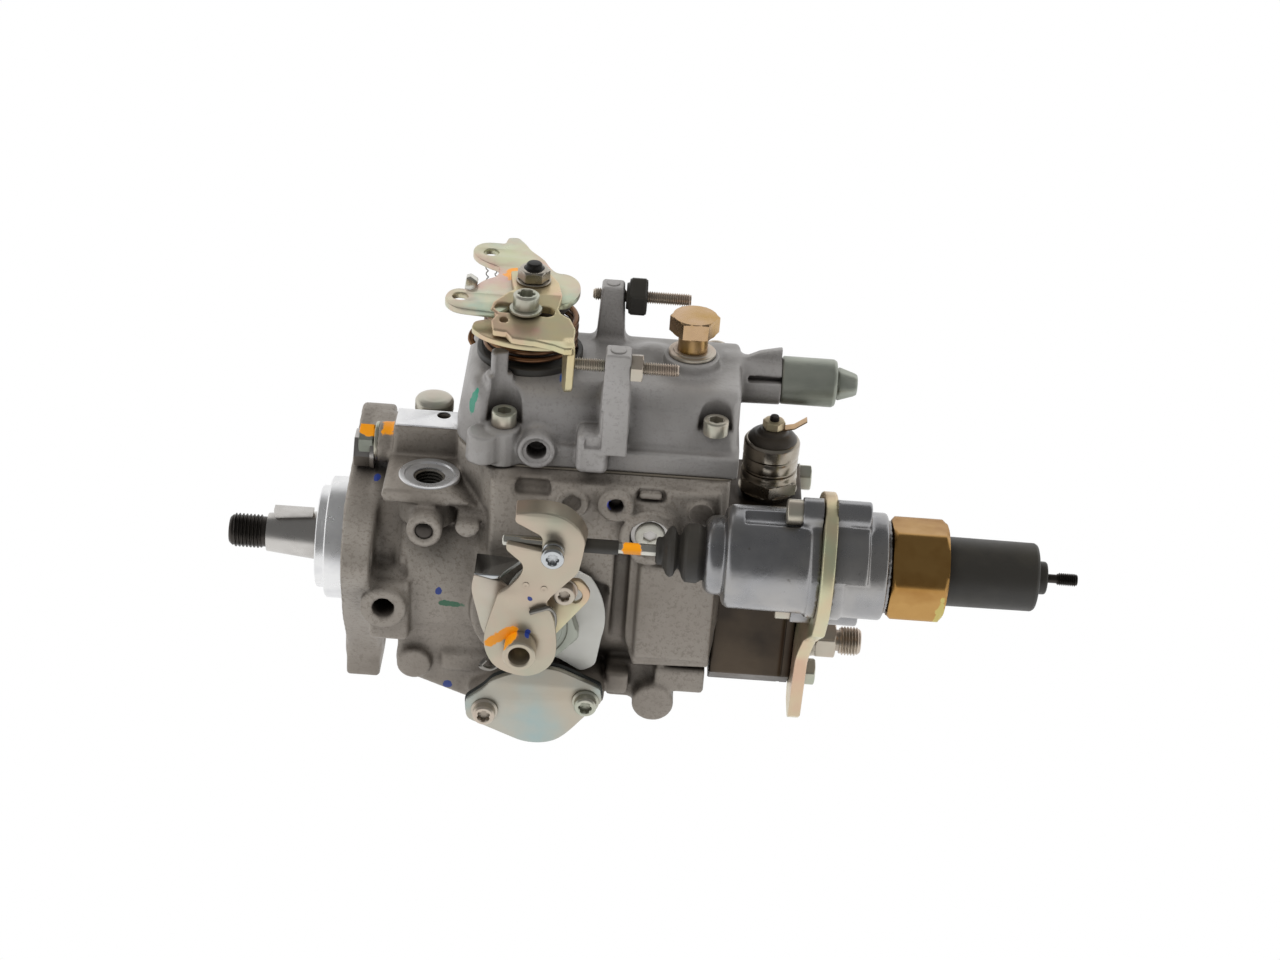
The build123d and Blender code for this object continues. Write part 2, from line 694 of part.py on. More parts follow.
# Governor lever on its fulcrum pin, with the ball that moves the collar
with BuildPart() as governor_lever:
    with BuildSketch(side.offset(10)) as fulcrum_boss:
        with Locations((fulcrum_x, fulcrum_z)):
            Circle(4.5)
    extrude(amount=-20)
    with BuildSketch(Plane.YZ.offset(sleeve_end + gap)) as lever_blade:
        with Locations((0, 43)):
            RectangleRounded(14, 44, 3)
    extrude(amount=2.5)
    with BuildSketch(side.offset(5)) as lever_web:
        with BuildLine():
            Polyline((sleeve_end + gap, fulcrum_z), (sleeve_end + gap + 2.5, 32), (fulcrum_x + 3, 25),
                     (fulcrum_x, 19), close=True)
        make_face()
    extrude(amount=-10)
    with BuildSketch(Plane.XY.offset(8)) as lever_ball:
        with Locations((collar_x + collar_w / 2, 0)):
            Circle(2)
    extrude(amount=12)
    with BuildSketch(side.offset(12)) as fulcrum_bore:
        with Locations((fulcrum_x, fulcrum_z)):
            Circle(2.5 + slip)
    extrude(amount=-24, mode=Mode.SUBTRACT)
save(governor_lever, "governor_lever")
with BuildPart() as fulcrum_pin:
    with BuildSketch(side.offset(chamber_half)) as fulcrum_face:
        with Locations((fulcrum_x, fulcrum_z)):
            Circle(2.5)
    extrude(amount=-2 * chamber_half)
save_group([governor_shaft, fulcrum_pin], "governor_pins")
governor_spring_z = 61.0
governor_coil = coil(4.5, 1.6, 3.2, 20)
with BuildPart() as governor_spring:
    add(Pos(lever_x + 14, 0, governor_spring_z) * Rot(0, 90, 0) * governor_coil)
    with BuildSketch(Plane.YZ.offset(lever_x + 12)) as spring_rod:
        with Locations((0, governor_spring_z)):
            Circle(1.4)
    extrude(amount=sleeve_end + gap - lever_x - 12)
    with BuildSketch(Plane.YZ.offset(lever_x + 34)) as spring_cup:
        with Locations((0, governor_spring_z)):
            Circle(5.5)
    extrude(amount=sleeve_end + gap - lever_x - 34)
save(governor_spring, "governor_spring")

# Timing device: piston, return spring, seals, covers and their screws
piston_len = 46.0
with BuildPart() as timing_piston:
    with BuildSketch(side.offset(piston_len / 2)) as piston_face:
        with Locations((timing_x, timing_z)):
            Circle(timing_bore_r)
    extrude(amount=-piston_len)
    with BuildSketch(Plane.XY.offset(timing_z - 6)) as piston_hole:
        with Locations((timing_x, 0)):
            Circle(4.6)
    extrude(amount=20, mode=Mode.SUBTRACT)
save(timing_piston, "timing_piston")
timing_coil = coil(6, 2, 4.5, timing_half - piston_len / 2 - 2)
with BuildPart() as timing_spring:
    add(Pos(timing_x, piston_len / 2 + 1, timing_z) * Rot(-90, 0, 0) * timing_coil)
save(timing_spring, "timing_spring")

def timing_sketch(inner):
    with BuildSketch() as outline:
        with Locations((0, 0)):
            Circle(15.5)
        with Locations((timing_bolt, 0), (-timing_bolt, 0)):
            Circle(6.5)
        make_hull()
        with Locations((timing_bolt, 0), (-timing_bolt, 0)):
            Circle(2.7, mode=Mode.SUBTRACT)
        if inner:
            Circle(inner, mode=Mode.SUBTRACT)
    return outline.sketch

def timing_plane(y):
    tilted = (cos(radians(timing_tilt)), 0, sin(radians(timing_tilt)))
    return Plane(origin=(timing_x, y, timing_z), x_dir=tilted,
                 z_dir=(0, 1 if y > 0 else -1, 0))

seal_outline = timing_sketch(timing_bore_r + 1)
cover_outline = timing_sketch(0)
with BuildPart() as timing_seals:
    for s in (-1, 1):
        extrude(timing_plane(s * timing_half) * seal_outline, timing_seal_t, dir=(0, s, 0))
save(timing_seals, "timing_seals")
with BuildPart() as timing_covers:
    for s in (-1, 1):
        extrude(timing_plane(s * (timing_half + timing_seal_t)) * cover_outline, timing_plate_t,
                dir=(0, s, 0))
save(timing_covers, "timing_covers")
with BuildPart() as timing_screws:
    for s in (-1, 1):
        for t in (-1, 1):
            x = timing_x + t * timing_bolt * cos(radians(timing_tilt))
            z = timing_z + t * timing_bolt * sin(radians(timing_tilt))
            facing = Plane(origin=(x, s * timing_half, z), x_dir=(1, 0, 0), z_dir=(0, s, 0))
            with BuildSketch(facing) as screw_shank:
                Circle(2.6)
            extrude(amount=timing_seal_t + timing_plate_t)
            with BuildSketch(facing.offset(timing_seal_t + timing_plate_t)) as screw_flange:
                Circle(5.4)
            extrude(amount=1)
            with BuildSketch(facing.offset(timing_seal_t + timing_plate_t + 1)) as screw_head:
                Circle(4.4)
            extrude(amount=4)
            with BuildSketch(facing.offset(timing_seal_t + timing_plate_t + 5)) as screw_socket:
                RegularPolygon(2.4, 6)
            extrude(amount=-2.5, mode=Mode.SUBTRACT)
save(timing_screws, "timing_screws")

# Hydraulic head with barrel, centre plug, outlets, delivery valves and bolts
outlet_points = [at_angle(outlet_circle, a) for a in outlet_angles]
head_bolts_at = ((-31, -29), (31, -29), (31, 26), (-31, 24))
barrel_r = 12.0
solenoid_x, solenoid_y, solenoid_r = 171.7, 3.0, 8.0
with BuildPart() as hydraulic_head:
    with BuildSketch(Plane.YZ.offset(body_end)) as head_face:
        with Locations((0, (head_top + head_bottom) / 2)):
            RectangleRounded(2 * head_half, head_top - head_bottom, 5)
    extrude(amount=head_x1 - body_end)
    chamfer(faces().sort_by(Axis.X)[-1].edges(), 1)
    with BuildSketch(Plane.YZ.offset(body_end)) as spigot:
        Circle(bore_r - slip)
    extrude(amount=-spigot_len)
    with BuildSketch(Plane.YZ.offset(body_end - spigot_len)) as barrel_bore:
        Circle(barrel_r)
    extrude(amount=60, mode=Mode.SUBTRACT)
    with BuildSketch(Plane.YZ.offset(head_x1 - 10)) as outlet_bores:
        with Locations(*outlet_points):
            Circle(6)
    extrude(amount=20, mode=Mode.SUBTRACT)
    with BuildSketch(Plane.XY.offset(head_top - 10)) as solenoid_bore:
        with Locations((solenoid_x, solenoid_y)):
            Circle(solenoid_r)
    extrude(amount=20, mode=Mode.SUBTRACT)
    with BuildSketch(Plane.YZ.offset(body_end)) as bolt_bores:
        with Locations(*head_bolts_at):
            Circle(3.2)
    extrude(amount=60, mode=Mode.SUBTRACT)
save(hydraulic_head, "hydraulic_head")
with BuildPart() as barrel:
    with BuildSketch(Plane.YZ.offset(body_end - spigot_len)) as barrel_face:
        Circle(barrel_r)
        Circle(plunger_d / 2 + slip, mode=Mode.SUBTRACT)
    extrude(amount=36)
with BuildPart() as centre_plug:
    with BuildSketch(Plane.YZ.offset(body_end - spigot_len + 36)) as plug_thread:
        Circle(barrel_r)
    extrude(amount=head_x1 - body_end + spigot_len - 36)
    with BuildSketch(Plane.YZ.offset(head_x1)) as plug_hex:
        RegularPolygon(11, 6, major_radius=False)
    extrude(amount=5)
save_group([barrel, centre_plug], "barrel")
with BuildPart() as delivery_fittings:
    for y, z in outlet_points:
        for x, r, length in ((head_x1 - 10, 6, 10), (head_x1, 7.2, 10.5), (204.5, 4.4, 2), (206.0, 6, 9)):
            with BuildSketch(Plane.YZ.offset(x)) as fitting_part:
                with Locations((y, z)):
                    Circle(r)
            extrude(amount=length)
        with BuildSketch(Plane.YZ.offset(196.5)) as fitting_hex:
            with Locations((y, z)):
                RegularPolygon(outlet_hex / 2, 6, major_radius=False)
        extrude(amount=8)
        with BuildSketch(Plane.YZ.offset(head_x1 - 10)) as valve_room:
            with Locations((y, z)):
                Circle(3.2)
        extrude(amount=20, mode=Mode.SUBTRACT)
        with BuildSketch(Plane.YZ.offset(head_x1)) as outlet_way:
            with Locations((y, z)):
                Circle(1.6)
        extrude(amount=30, mode=Mode.SUBTRACT)
        with BuildSketch(Plane.YZ.offset(215)) as cone_seat:
            with Locations((y, z)):
                Circle(3.6)
        extrude(amount=-3, taper=30, mode=Mode.SUBTRACT)
save(delivery_fittings, "delivery_fittings")
with BuildPart() as delivery_valves:
    for x, r, length in ((head_x1 - 9.5, 3.2 - slip, 6), (head_x1 - 3.5, 1.5, 5)):
        with BuildSketch(Plane.YZ.offset(x)) as valve_part:
            with Locations(*outlet_points):
                Circle(r)
        extrude(amount=length)
save(delivery_valves, "delivery_valves")
with BuildPart() as head_bolts:
    for number, (y, z) in enumerate(head_bolts_at):
        seat = head_x1 + (bracket_t if number == 0 else 0)
        with BuildSketch(Plane.YZ.offset(body_end)) as bolt_shank:
            with Locations((y, z)):
                Circle(3)
        extrude(amount=seat - body_end)
        with BuildSketch(Plane.YZ.offset(seat)) as bolt_head:
            with Locations((y, z)):
                RegularPolygon(5, 6, major_radius=False)
        extrude(amount=4)
save(head_bolts, "head_bolts")

# Shut off solenoid on the head, with its armature
with BuildPart() as solenoid_body:
    for z, r, length in ((head_top - 6, solenoid_r, 6), (head_top, 10.6, 3), (head_top + 9, 11, 3),
                         (head_top + 12, 10.2, 1.5), (head_top + 13.5, 11, 11.5)):
        with BuildSketch(Plane.XY.offset(z)) as can:
            with Locations((solenoid_x, solenoid_y)):
                Circle(r)
        extrude(amount=length)
    with BuildSketch(Plane.XY.offset(head_top + 3)) as solenoid_hex:
        with Locations((solenoid_x, solenoid_y)):
            RegularPolygon(11, 6, major_radius=False)
    extrude(amount=6)
    with BuildSketch(Plane.XY.offset(head_top - 6)) as armature_room:
        with Locations((solenoid_x, solenoid_y)):
            Circle(4 + slip)
    extrude(amount=22, mode=Mode.SUBTRACT)
save(solenoid_body, "solenoid_body")
with BuildPart() as solenoid_armature:
    with BuildSketch(Plane.XY.offset(head_top - 7)) as armature_face:
        with Locations((solenoid_x, solenoid_y)):
            Circle(4)
    extrude(amount=18)
save(solenoid_armature, "solenoid_armature")
solenoid_top = head_top + 25
with BuildPart() as solenoid_cap:
    for z, r, length in ((solenoid_top, 8.6, 1.6), (solenoid_top + 1.6, 5.5, 2.4)):
        with BuildSketch(Plane.XY.offset(z)) as moulded:
            with Locations((solenoid_x, solenoid_y)):
                Circle(r)
        extrude(amount=length)
with BuildPart() as solenoid_terminal:
    with BuildSketch(Plane.XY.offset(solenoid_top + 4)) as tag:
        with Locations((solenoid_x, solenoid_y)):
            Circle(4.5)
        with Locations((solenoid_x + 5, solenoid_y)):
            Rectangle(8, 5)
    extrude(amount=0.8)
    with BuildSketch(Plane.XZ.offset(-solenoid_y + 2)) as blade:
        with BuildLine():
            Polyline((solenoid_x + 8, solenoid_top + 4), (solenoid_x + 13, solenoid_top + 8),
                     (solenoid_x + 12.4, solenoid_top + 8.8), (solenoid_x + 7.4, solenoid_top + 4.8),
                     close=True)
        make_face()
    extrude(amount=-4)
with BuildPart() as solenoid_nut:
    with BuildSketch(Plane.XY.offset(solenoid_top + 4.8)) as nut_face:
        with Locations((solenoid_x, solenoid_y)):
            RegularPolygon(4, 6, major_radius=False)
    extrude(amount=4)
    with BuildSketch(Plane.XY.offset(solenoid_top + 8.8)) as stud_face:
        with Locations((solenoid_x, solenoid_y)):
            Circle(2)
    extrude(amount=1.5)
save_group([solenoid_cap, solenoid_terminal, solenoid_nut], "solenoid_terminal")

# Overflow banjo bolt and its sealing washer
with BuildPart() as overflow_washer:
    with BuildSketch(Plane.XY.offset(overflow_seat)) as washer_face:
        with Locations((overflow_x, overflow_y)):
            Circle(9)
            Circle(6, mode=Mode.SUBTRACT)
    extrude(amount=1.6)
with BuildPart() as overflow_bolt:
    with BuildSketch(Plane.XY.offset(cover_top - 6)) as overflow_neck:
        with Locations((overflow_x, overflow_y)):
            Circle(6)
    extrude(amount=overflow_seat + 10 - cover_top + 6)
    with BuildSketch(Plane.XY.offset(overflow_seat + 10)) as overflow_hex:
        with Locations((overflow_x, overflow_y)):
            RegularPolygon(8.5, 6, major_radius=False, rotation=10)
    extrude(amount=6.5)
save_group([overflow_washer, overflow_bolt], "overflow_bolt")

# Full load screw and its tamper sleeve
load_end = cover_x1 + 16
with BuildPart() as full_load_screw:
    with BuildSketch(Plane.YZ.offset(cover_x1 - 8)) as load_screw_face:
        with Locations((full_load_y, full_load_z)):
            Circle(4)
    extrude(amount=load_end + 20 - cover_x1 + 8)
with BuildPart() as tamper_sleeve:
    with BuildSketch(Plane.YZ.offset(load_end)) as sleeve_face:
        with Locations((full_load_y, full_load_z)):
            Circle(9.6)
    extrude(amount=22)
    with BuildSketch(Plane.YZ.offset(load_end + 22)) as cone_face:
        with Locations((full_load_y, full_load_z)):
            Circle(6.4)
    extrude(amount=8.5, taper=6)
    with BuildSketch(Plane.YZ.offset(load_end)) as sleeve_bore:
        with Locations((full_load_y, full_load_z)):
            Circle(4)
    extrude(amount=20, mode=Mode.SUBTRACT)
save_group([full_load_screw, tamper_sleeve], "full_load_screw")

# Stop screws with lock nut and collar
idle_tip_x = 91.0
top_tip_x = 96.0
with BuildPart() as stop_screws:
    for x, length, y, z in ((idle_tip_x, 40.0, front_post_y, front_stop_z),
                            (top_tip_x, 39.0, rear_post_y, rear_stop_z)):
        with BuildSketch(Plane.YZ.offset(x)) as stop_face:
            with Locations((y, z)):
                Circle(2.5)
        extrude(amount=length)
with BuildPart() as idle_locknut:
    with BuildSketch(Plane.YZ.offset(112.5)) as locknut_face:
        with Locations((front_post_y, front_stop_z)):
            RegularPolygon(4, 6, major_radius=False)
            Circle(2.5, mode=Mode.SUBTRACT)
    extrude(amount=4.5)
save_group([stop_screws, idle_locknut], "stop_screws")
with BuildPart() as top_collar:
    with BuildSketch(Plane.YZ.offset(109.0)) as collar_ring:
        with Locations((rear_post_y, rear_stop_z)):
            RegularPolygon(6.6, 6, major_radius=False, rotation=30)
            Circle(2.5, mode=Mode.SUBTRACT)
    extrude(amount=8)
save(top_collar, "top_collar")

# Plugs of the housing: side bolt, domed pressure valve, port plug, ball plug, bleed plug
with BuildPart() as side_bolt:
    with BuildSketch(Plane.YZ.offset(13)) as side_bolt_shank:
        with Locations((side_bolt_y, side_bolt_z)):
            Circle(4)
    extrude(amount=12)
    with BuildSketch(Plane.YZ.offset(13)) as side_bolt_washer:
        with Locations((side_bolt_y, side_bolt_z)):
            Circle(8)
    extrude(amount=-1.6)
    with BuildSketch(Plane.YZ.offset(11.4)) as side_bolt_hex:
        with Locations((side_bolt_y, side_bolt_z)):
            RegularPolygon(6.5, 6, major_radius=False)
    extrude(amount=-6.5)
with BuildPart() as pressure_valve:
    with BuildSketch(Plane.XY.offset(valve_seat)) as valve_face:
        with Locations((valve_x, valve_y)):
            Circle(7.8)
    extrude(amount=9)
    fillet(faces().sort_by(Axis.Z)[-1].edges(), 1.6)
save(pressure_valve, "pressure_valve")
with BuildPart() as side_plugs:
    for x, z, r, y, length in ((125, 37, 7.5, 42.5, 3), (93.9, 49.8, 3.5, 42, 1.5), (37.1, 33, 3, 42.5, 2)):
        with BuildSketch(side.offset(y)) as plug_disc:
            with Locations((x, z)):
                Circle(r)
        extrude(amount=-length)
save_group([side_bolt, side_plugs], "housing_plugs")

# Throttle lever pack: shaft, ear plate, stop plate, spring plate, nut, clamp screw, return spring
def round_link(spots):
    with BuildSketch() as link:
        for x, y, r in spots:
            with Locations((lever_x + x, lever_y + y)):
                Circle(r)
        make_hull()
    return link.sketch

def lever_outline(links):
    outline = round_link(links[0])
    for spots in links[1:]:
        outline += round_link(spots)
    return outline

shaft_top = front_plate_z + plate_t + 7.5
with BuildPart() as throttle_shaft:
    with BuildSketch(Plane.XY.offset(cover_z0 + 3)) as throttle_core:
        with Locations((lever_x, lever_y)):
            Circle(lever_shaft_d / 2)
    extrude(amount=hub_top + 1 - cover_z0 - 3)
    with BuildSketch(Plane.XY.offset(hub_top + 1)) as throttle_neck:
        with Locations((lever_x, lever_y)):
            Circle(4)
    extrude(amount=shaft_top - hub_top - 1)
save(throttle_shaft, "throttle_shaft")
ear_spots = (((0, 0, 13), (-18.5, 30.0, 8)), ((0, 0, 13), (-8.5, 37, 7.5)), ((0, 0, 13), (-27.3, -11.5, 7.5)),
             ((0, 0, 13), (7, -1, 11.5)), ((-14, 33, 6), (-5, 38, 6)), ((0, 0, 13), (-3, -13, 11)))
with BuildPart() as ear_plate:
    extrude(Plane.XY.offset(rear_plate_z) * lever_outline(ear_spots), plate_t)
    with BuildSketch(Plane.XY.offset(rear_plate_z)) as ear_holes:
        with Locations((lever_x - 18.5, lever_y + 30), (lever_x - 27.3, lever_y - 11.5)):
            Circle(3.1)
        with Locations((lever_x, lever_y)):
            Circle(4)
        with Locations((lever_x - 1.5, lever_y - 17)):
            Circle(3)
    extrude(amount=plate_t, mode=Mode.SUBTRACT)
    # tab that meets the upper stop screw
    with BuildSketch(Plane.XY.offset(rear_plate_z - 9)) as ear_tab:
        with Locations((lever_x - 4.5, lever_y + 31)):
            Rectangle(3, 10)
    extrude(amount=9 + plate_t / 2)
save(ear_plate, "ear_plate")
stop_spots = (((0, 0, 8.5), (-1.5, -17, 15)),)
foot_spots = (((-8, -30, 7), (13, -31, 7), (11, -37, 6), (-5, -38, 5)),)
with BuildPart() as stop_plate:
    extrude(Plane.XY.offset(front_plate_z) * lever_outline(stop_spots), plate_t)
    extrude(Plane.XY.offset(front_plate_z - joggle) * lever_outline(foot_spots), plate_t)
    with BuildSketch(side.offset(-lever_y + 32)) as joggle_web:
        with Locations((lever_x - 1.5, front_plate_z + plate_t / 2 - joggle / 2)):
            Rectangle(20, joggle + plate_t)
    extrude(amount=-6)
    with BuildSketch(Plane.XY.offset(front_plate_z - joggle - 16)) as stop_tab:
        with Locations((idle_tip_x - gap - plate_t / 2, front_post_y)):
            Rectangle(plate_t, 9)
    extrude(amount=16 + plate_t / 2)
    with BuildSketch(Plane.XY.offset(front_plate_z)) as arc_slot:
        with Locations((lever_x, lever_y)):
            Circle(4)
        with Locations((lever_x - 1.5, lever_y - 17)):
            SlotOverall(18, 7)
    extrude(amount=plate_t, mode=Mode.SUBTRACT)
save(stop_plate, "stop_plate")
with BuildPart() as spring_plate:
    with BuildSketch(Plane.XY.offset(rear_plate_z - 3)) as spring_plate_face:
        with Locations((lever_x, lever_y)):
            Circle(20)
            Circle(4, mode=Mode.SUBTRACT)
    extrude(amount=3)
    with BuildSketch(Plane.XY.offset(rear_plate_z - 5.5)) as spring_shelf:
        with Locations((lever_x - 6, lever_y - 27)):
            RectangleRounded(28, 18, 4)
    extrude(amount=2.5)
save(spring_plate, "spring_plate")
with BuildPart() as lever_nut:
    with BuildSketch(Plane.XY.offset(front_plate_z + plate_t)) as lever_washer:
        with Locations((lever_x, lever_y)):
            Circle(6.5)
            Circle(4, mode=Mode.SUBTRACT)
    extrude(amount=1)
    with BuildSketch(Plane.XY.offset(front_plate_z + plate_t + 1)) as lever_hex:
        with Locations((lever_x, lever_y)):
            RegularPolygon(5.5, 6, major_radius=False)
            Circle(4, mode=Mode.SUBTRACT)
    extrude(amount=4.5)
with BuildPart() as lever_screw:
    for z, r, length in ((rear_plate_z, 3, 2 * plate_t), (front_plate_z + plate_t, 6.3, 1.2),
                         (front_plate_z + plate_t + 1.2, 5, 6)):
        with BuildSketch(Plane.XY.offset(z)) as lever_screw_face:
            with Locations((lever_x - 1.5, lever_y - 17)):
                Circle(r)
        extrude(amount=length)
    with BuildSketch(Plane.XY.offset(front_plate_z + plate_t + 7.2)) as lever_socket:
        with Locations((lever_x - 1.5, lever_y - 17)):
            RegularPolygon(2.8, 6)
    extrude(amount=-3, mode=Mode.SUBTRACT)
save_group([lever_nut, lever_screw], "lever_fasteners")
return_coil = coil(spring_r, spring_wire, 3.4, 10.2)
with BuildPart() as return_spring:
    add(Pos(lever_x, lever_y, 98.0) * return_coil)
save(return_spring, "return_spring")

# Cold start lever: shaft in its hexagon bush, disc, stop plates, lever, spring, clamp pin
disc_face = 44.0
bush_face = disc_face + 1.0
bush_end = bush_face + 7.0
with BuildPart() as cold_disc:
    with BuildSketch(side.offset(disc_face)) as disc_outline:
        with Locations((pivot_x, pivot_z)):
            Circle(21.5)
        with Locations((pivot_x + 12, pivot_z - 1)):
            Circle(20)
        make_hull()
        with Locations((pivot_x, pivot_z)):
            Circle(9, mode=Mode.SUBTRACT)
    extrude(amount=bush_face - disc_face)
with BuildPart() as cold_bush:
    with BuildSketch(side.offset(28)) as bush_thread:
        with Locations((pivot_x, pivot_z)):
            Circle(9)
    extrude(amount=bush_face - 28)
    with BuildSketch(side.offset(bush_face)) as bush_hex:
        with Locations((pivot_x, pivot_z)):
            RegularPolygon(17, 6, major_radius=False, rotation=10)
    extrude(amount=bush_end - bush_face)
    with BuildSketch(side.offset(bush_end)) as bush_tube:
        with Locations((pivot_x, pivot_z)):
            Circle(8)
    extrude(amount=arm_face - 0.6 - bush_end)
    with BuildSketch(side.offset(28)) as bush_bore:
        with Locations((pivot_x, pivot_z)):
            Circle(5 + slip)
    extrude(amount=40, mode=Mode.SUBTRACT)
save_group([cold_disc, cold_bush], "cold_bush")
with BuildPart() as cold_shaft:
    with BuildSketch(side.offset(30)) as cold_shaft_face:
        with Locations((pivot_x, pivot_z)):
            Circle(5)
    extrude(amount=arm_face + arm_t + 8 - 30)
    with BuildSketch(side.offset(27.7)) as crank_pin:
        with Locations((pivot_x, pivot_z + 2)):
            Circle(2.2)
    extrude(amount=3)
    with BuildSketch(side.offset(arm_face + arm_t + 8)) as cold_shaft_hole:
        with Locations((pivot_x, pivot_z)):
            Circle(3.4)
    extrude(amount=-7, mode=Mode.SUBTRACT)
with BuildPart() as stop_bracket:
    with BuildSketch(side.offset(bush_end)) as bracket_outline:
        with Locations((pivot_x, pivot_z)):
            Circle(12)
        with Locations((66, 5)):
            Circle(3)
        with Locations((60, 27)):
            Circle(4)
        with Locations((72, 24)):
            Circle(3)
        make_hull()
        with Locations((pivot_x, pivot_z)):
            Circle(8, mode=Mode.SUBTRACT)
    extrude(amount=2)
    with BuildSketch(Plane.XY.offset(29)) as bracket_shelf:
        with Locations((67, -57)):
            Rectangle(22, 10)
    extrude(amount=2)
with BuildPart() as slotted_plate:
    with BuildSketch(side.offset(bush_end + 2)) as slotted_outline:
        with Locations((pivot_x, pivot_z)):
            Circle(12)
        with Locations((92, 19)):
            Circle(8)
        with Locations((100, 14)):
            Circle(7)
        make_hull()
        with Locations((pivot_x, pivot_z)):
            Circle(8, mode=Mode.SUBTRACT)
        with Locations((93, 16)):
            SlotOverall(12, 5.8, rotation=45, mode=Mode.SUBTRACT)
    extrude(amount=2)
with BuildPart() as slot_screw:
    with BuildSketch(side.offset(bush_end + 1)) as slot_shank:
        with Locations((92.6, 15.8)):
            Circle(2.5)
    extrude(amount=3)
    with BuildSketch(side.offset(bush_end + 4)) as slot_head:
        with Locations((92.6, 15.8)):
            Circle(4.6)
    extrude(amount=1)
    with BuildSketch(side.offset(bush_end + 5)) as slot_hex:
        with Locations((92.6, 15.8)):
            RegularPolygon(3.8, 6)
    extrude(amount=3)
save_group([stop_bracket, slotted_plate, slot_screw], "cold_stops")
with BuildPart() as cold_lever:
    with BuildSketch(side.offset(arm_face)) as arm_low:
        with Locations((pivot_x, pivot_z)):
            Circle(14.2)
        with Locations((86, 22)):
            Circle(9.5)
        make_hull()
    extrude(amount=arm_t)
    with BuildSketch(side.offset(arm_face)) as arm_claw:
        with Locations((92, 43)):
            Circle(12.5)
        with Locations((86, 22)):
            Circle(9)
        make_hull()
        with BuildLine():
            Polyline((92, 60), (73.5, 58.5), (72, 50), (78, 46), (92, 47), close=True)
        make_face()
        with BuildLine():
            Polyline((92, 38), (76, 36.5), (71, 40.5), (79, 31), (90, 26), close=True)
        make_face()
    extrude(amount=arm_t)
    # bent rim along the top of the claw
    with BuildSketch(side.offset(arm_face - 6)) as claw_rim:
        with BuildLine():
            Polyline((73.5, 58.5), (92, 60), (100.5, 55), (104.5, 45), (102, 45), (98.5, 53.3), (91.6, 57.8),
                     (73.7, 56.3), close=True)
        make_face()
    extrude(amount=6)
    # slot for the clamp pin
    with BuildSketch(side.offset(arm_face - 8)) as claw_slot:
        with Locations((claw_x, wax_z)):
            Circle(5)
        with Locations((claw_x - 15, wax_z)):
            Rectangle(30, 10)
    extrude(amount=arm_t + 10, mode=Mode.SUBTRACT)
    with BuildSketch(side.offset(arm_face)) as arm_bore:
        with Locations((pivot_x, pivot_z)):
            Circle(5)
    extrude(amount=arm_t, mode=Mode.SUBTRACT)
save(cold_lever, "cold_lever")
with BuildPart() as lever_tube:
    with BuildSketch(side.offset(arm_face + arm_t)) as tube_ring:
        with Locations((pivot_x, pivot_z)):
            Circle(6.6)
            Circle(5, mode=Mode.SUBTRACT)
    extrude(amount=5)
save_group([cold_shaft, lever_tube], "cold_shaft")
torsion_coil = coil(10.5, 1.8, 2.2, 3.4)
with BuildPart() as torsion_spring:
    add(Pos(pivot_x, -arm_face + 1.4, pivot_z) * Rot(-90, 0, 0) * torsion_coil)
save(torsion_spring, "torsion_spring")
pin_front = -wax_y + 9.0
with BuildPart() as clamp_pin:
    with BuildSketch(side.offset(-wax_y - 4)) as pin_shank:
        with Locations((claw_x, wax_z)):
            Circle(3.5)
    extrude(amount=pin_front + wax_y + 4)
    with BuildSketch(side.offset(pin_front)) as pin_head:
        with Locations((claw_x, wax_z)):
            Circle(4.4)
    extrude(amount=3)
    with BuildSketch(side.offset(pin_front + 3)) as pin_socket:
        with Locations((claw_x, wax_z)):
            RegularPolygon(2.2, 6)
    extrude(amount=-2, mode=Mode.SUBTRACT)
    with BuildSketch(Plane.YZ.offset(claw_x - 10)) as pin_bore:
        with Locations((wax_y, wax_z)):
            Circle(rod_d / 2)
    extrude(amount=20, mode=Mode.SUBTRACT)
save(clamp_pin, "clamp_pin")

# Cold start actuator: rod with piston, boot, two die cast housings, wax element with hexagon, cap and stud
wax_x0 = 153.0
wax_r = 20.5
wax_room_r = 15.0
neck_x = wax_x0 - 6.5
rod_start = 68.5
piston_x = 168.0
wax_screws_at = [(wax_y + 23.5 * cos(radians(a)), wax_z + 23.5 * sin(radians(a))) for a in (98, 278)]
with BuildPart() as actuator_rod:
    with BuildSketch(Plane.YZ.offset(rod_start)) as rod_face:
        with Locations((wax_y, wax_z)):
            Circle(rod_d / 2)
    extrude(amount=piston_x - rod_start)
    with BuildSketch(Plane.YZ.offset(piston_x)) as piston_disc:
        with Locations((wax_y, wax_z)):
            Circle(wax_room_r - gap)
    extrude(amount=5)
with BuildPart() as rod_sleeve:
    with BuildSketch(Plane.YZ.offset(101)) as rod_sleeve_face:
        with Locations((wax_y, wax_z)):
            Circle(rod_d / 2 + 0.5)
            Circle(rod_d / 2, mode=Mode.SUBTRACT)
    extrude(amount=12)
save_group([actuator_rod, rod_sleeve], "actuator_rod")
with BuildPart() as rod_boot:
    with BuildSketch(Plane.XZ.offset(-wax_y)) as boot_profile:
        with BuildLine():
            Polyline((127.5, wax_z + rod_d / 2 + gap), (127.5, wax_z + 5), (131, wax_z + 5),
                     (133.5, wax_z + 9), (136, wax_z + 6), (138, wax_z + 9), (140, wax_z + 11), (144.5, wax_z + 11),
                     (neck_x, wax_z + 10), (neck_x, wax_z + 7.5), (138, wax_z + 5), (133, wax_z + 4.5),
                     (130, wax_z + rod_d / 2 + gap), close=True)
        make_face()
    revolve(axis=Axis((0, wax_y, wax_z), (1, 0, 0)))
save(rod_boot, "rod_boot")
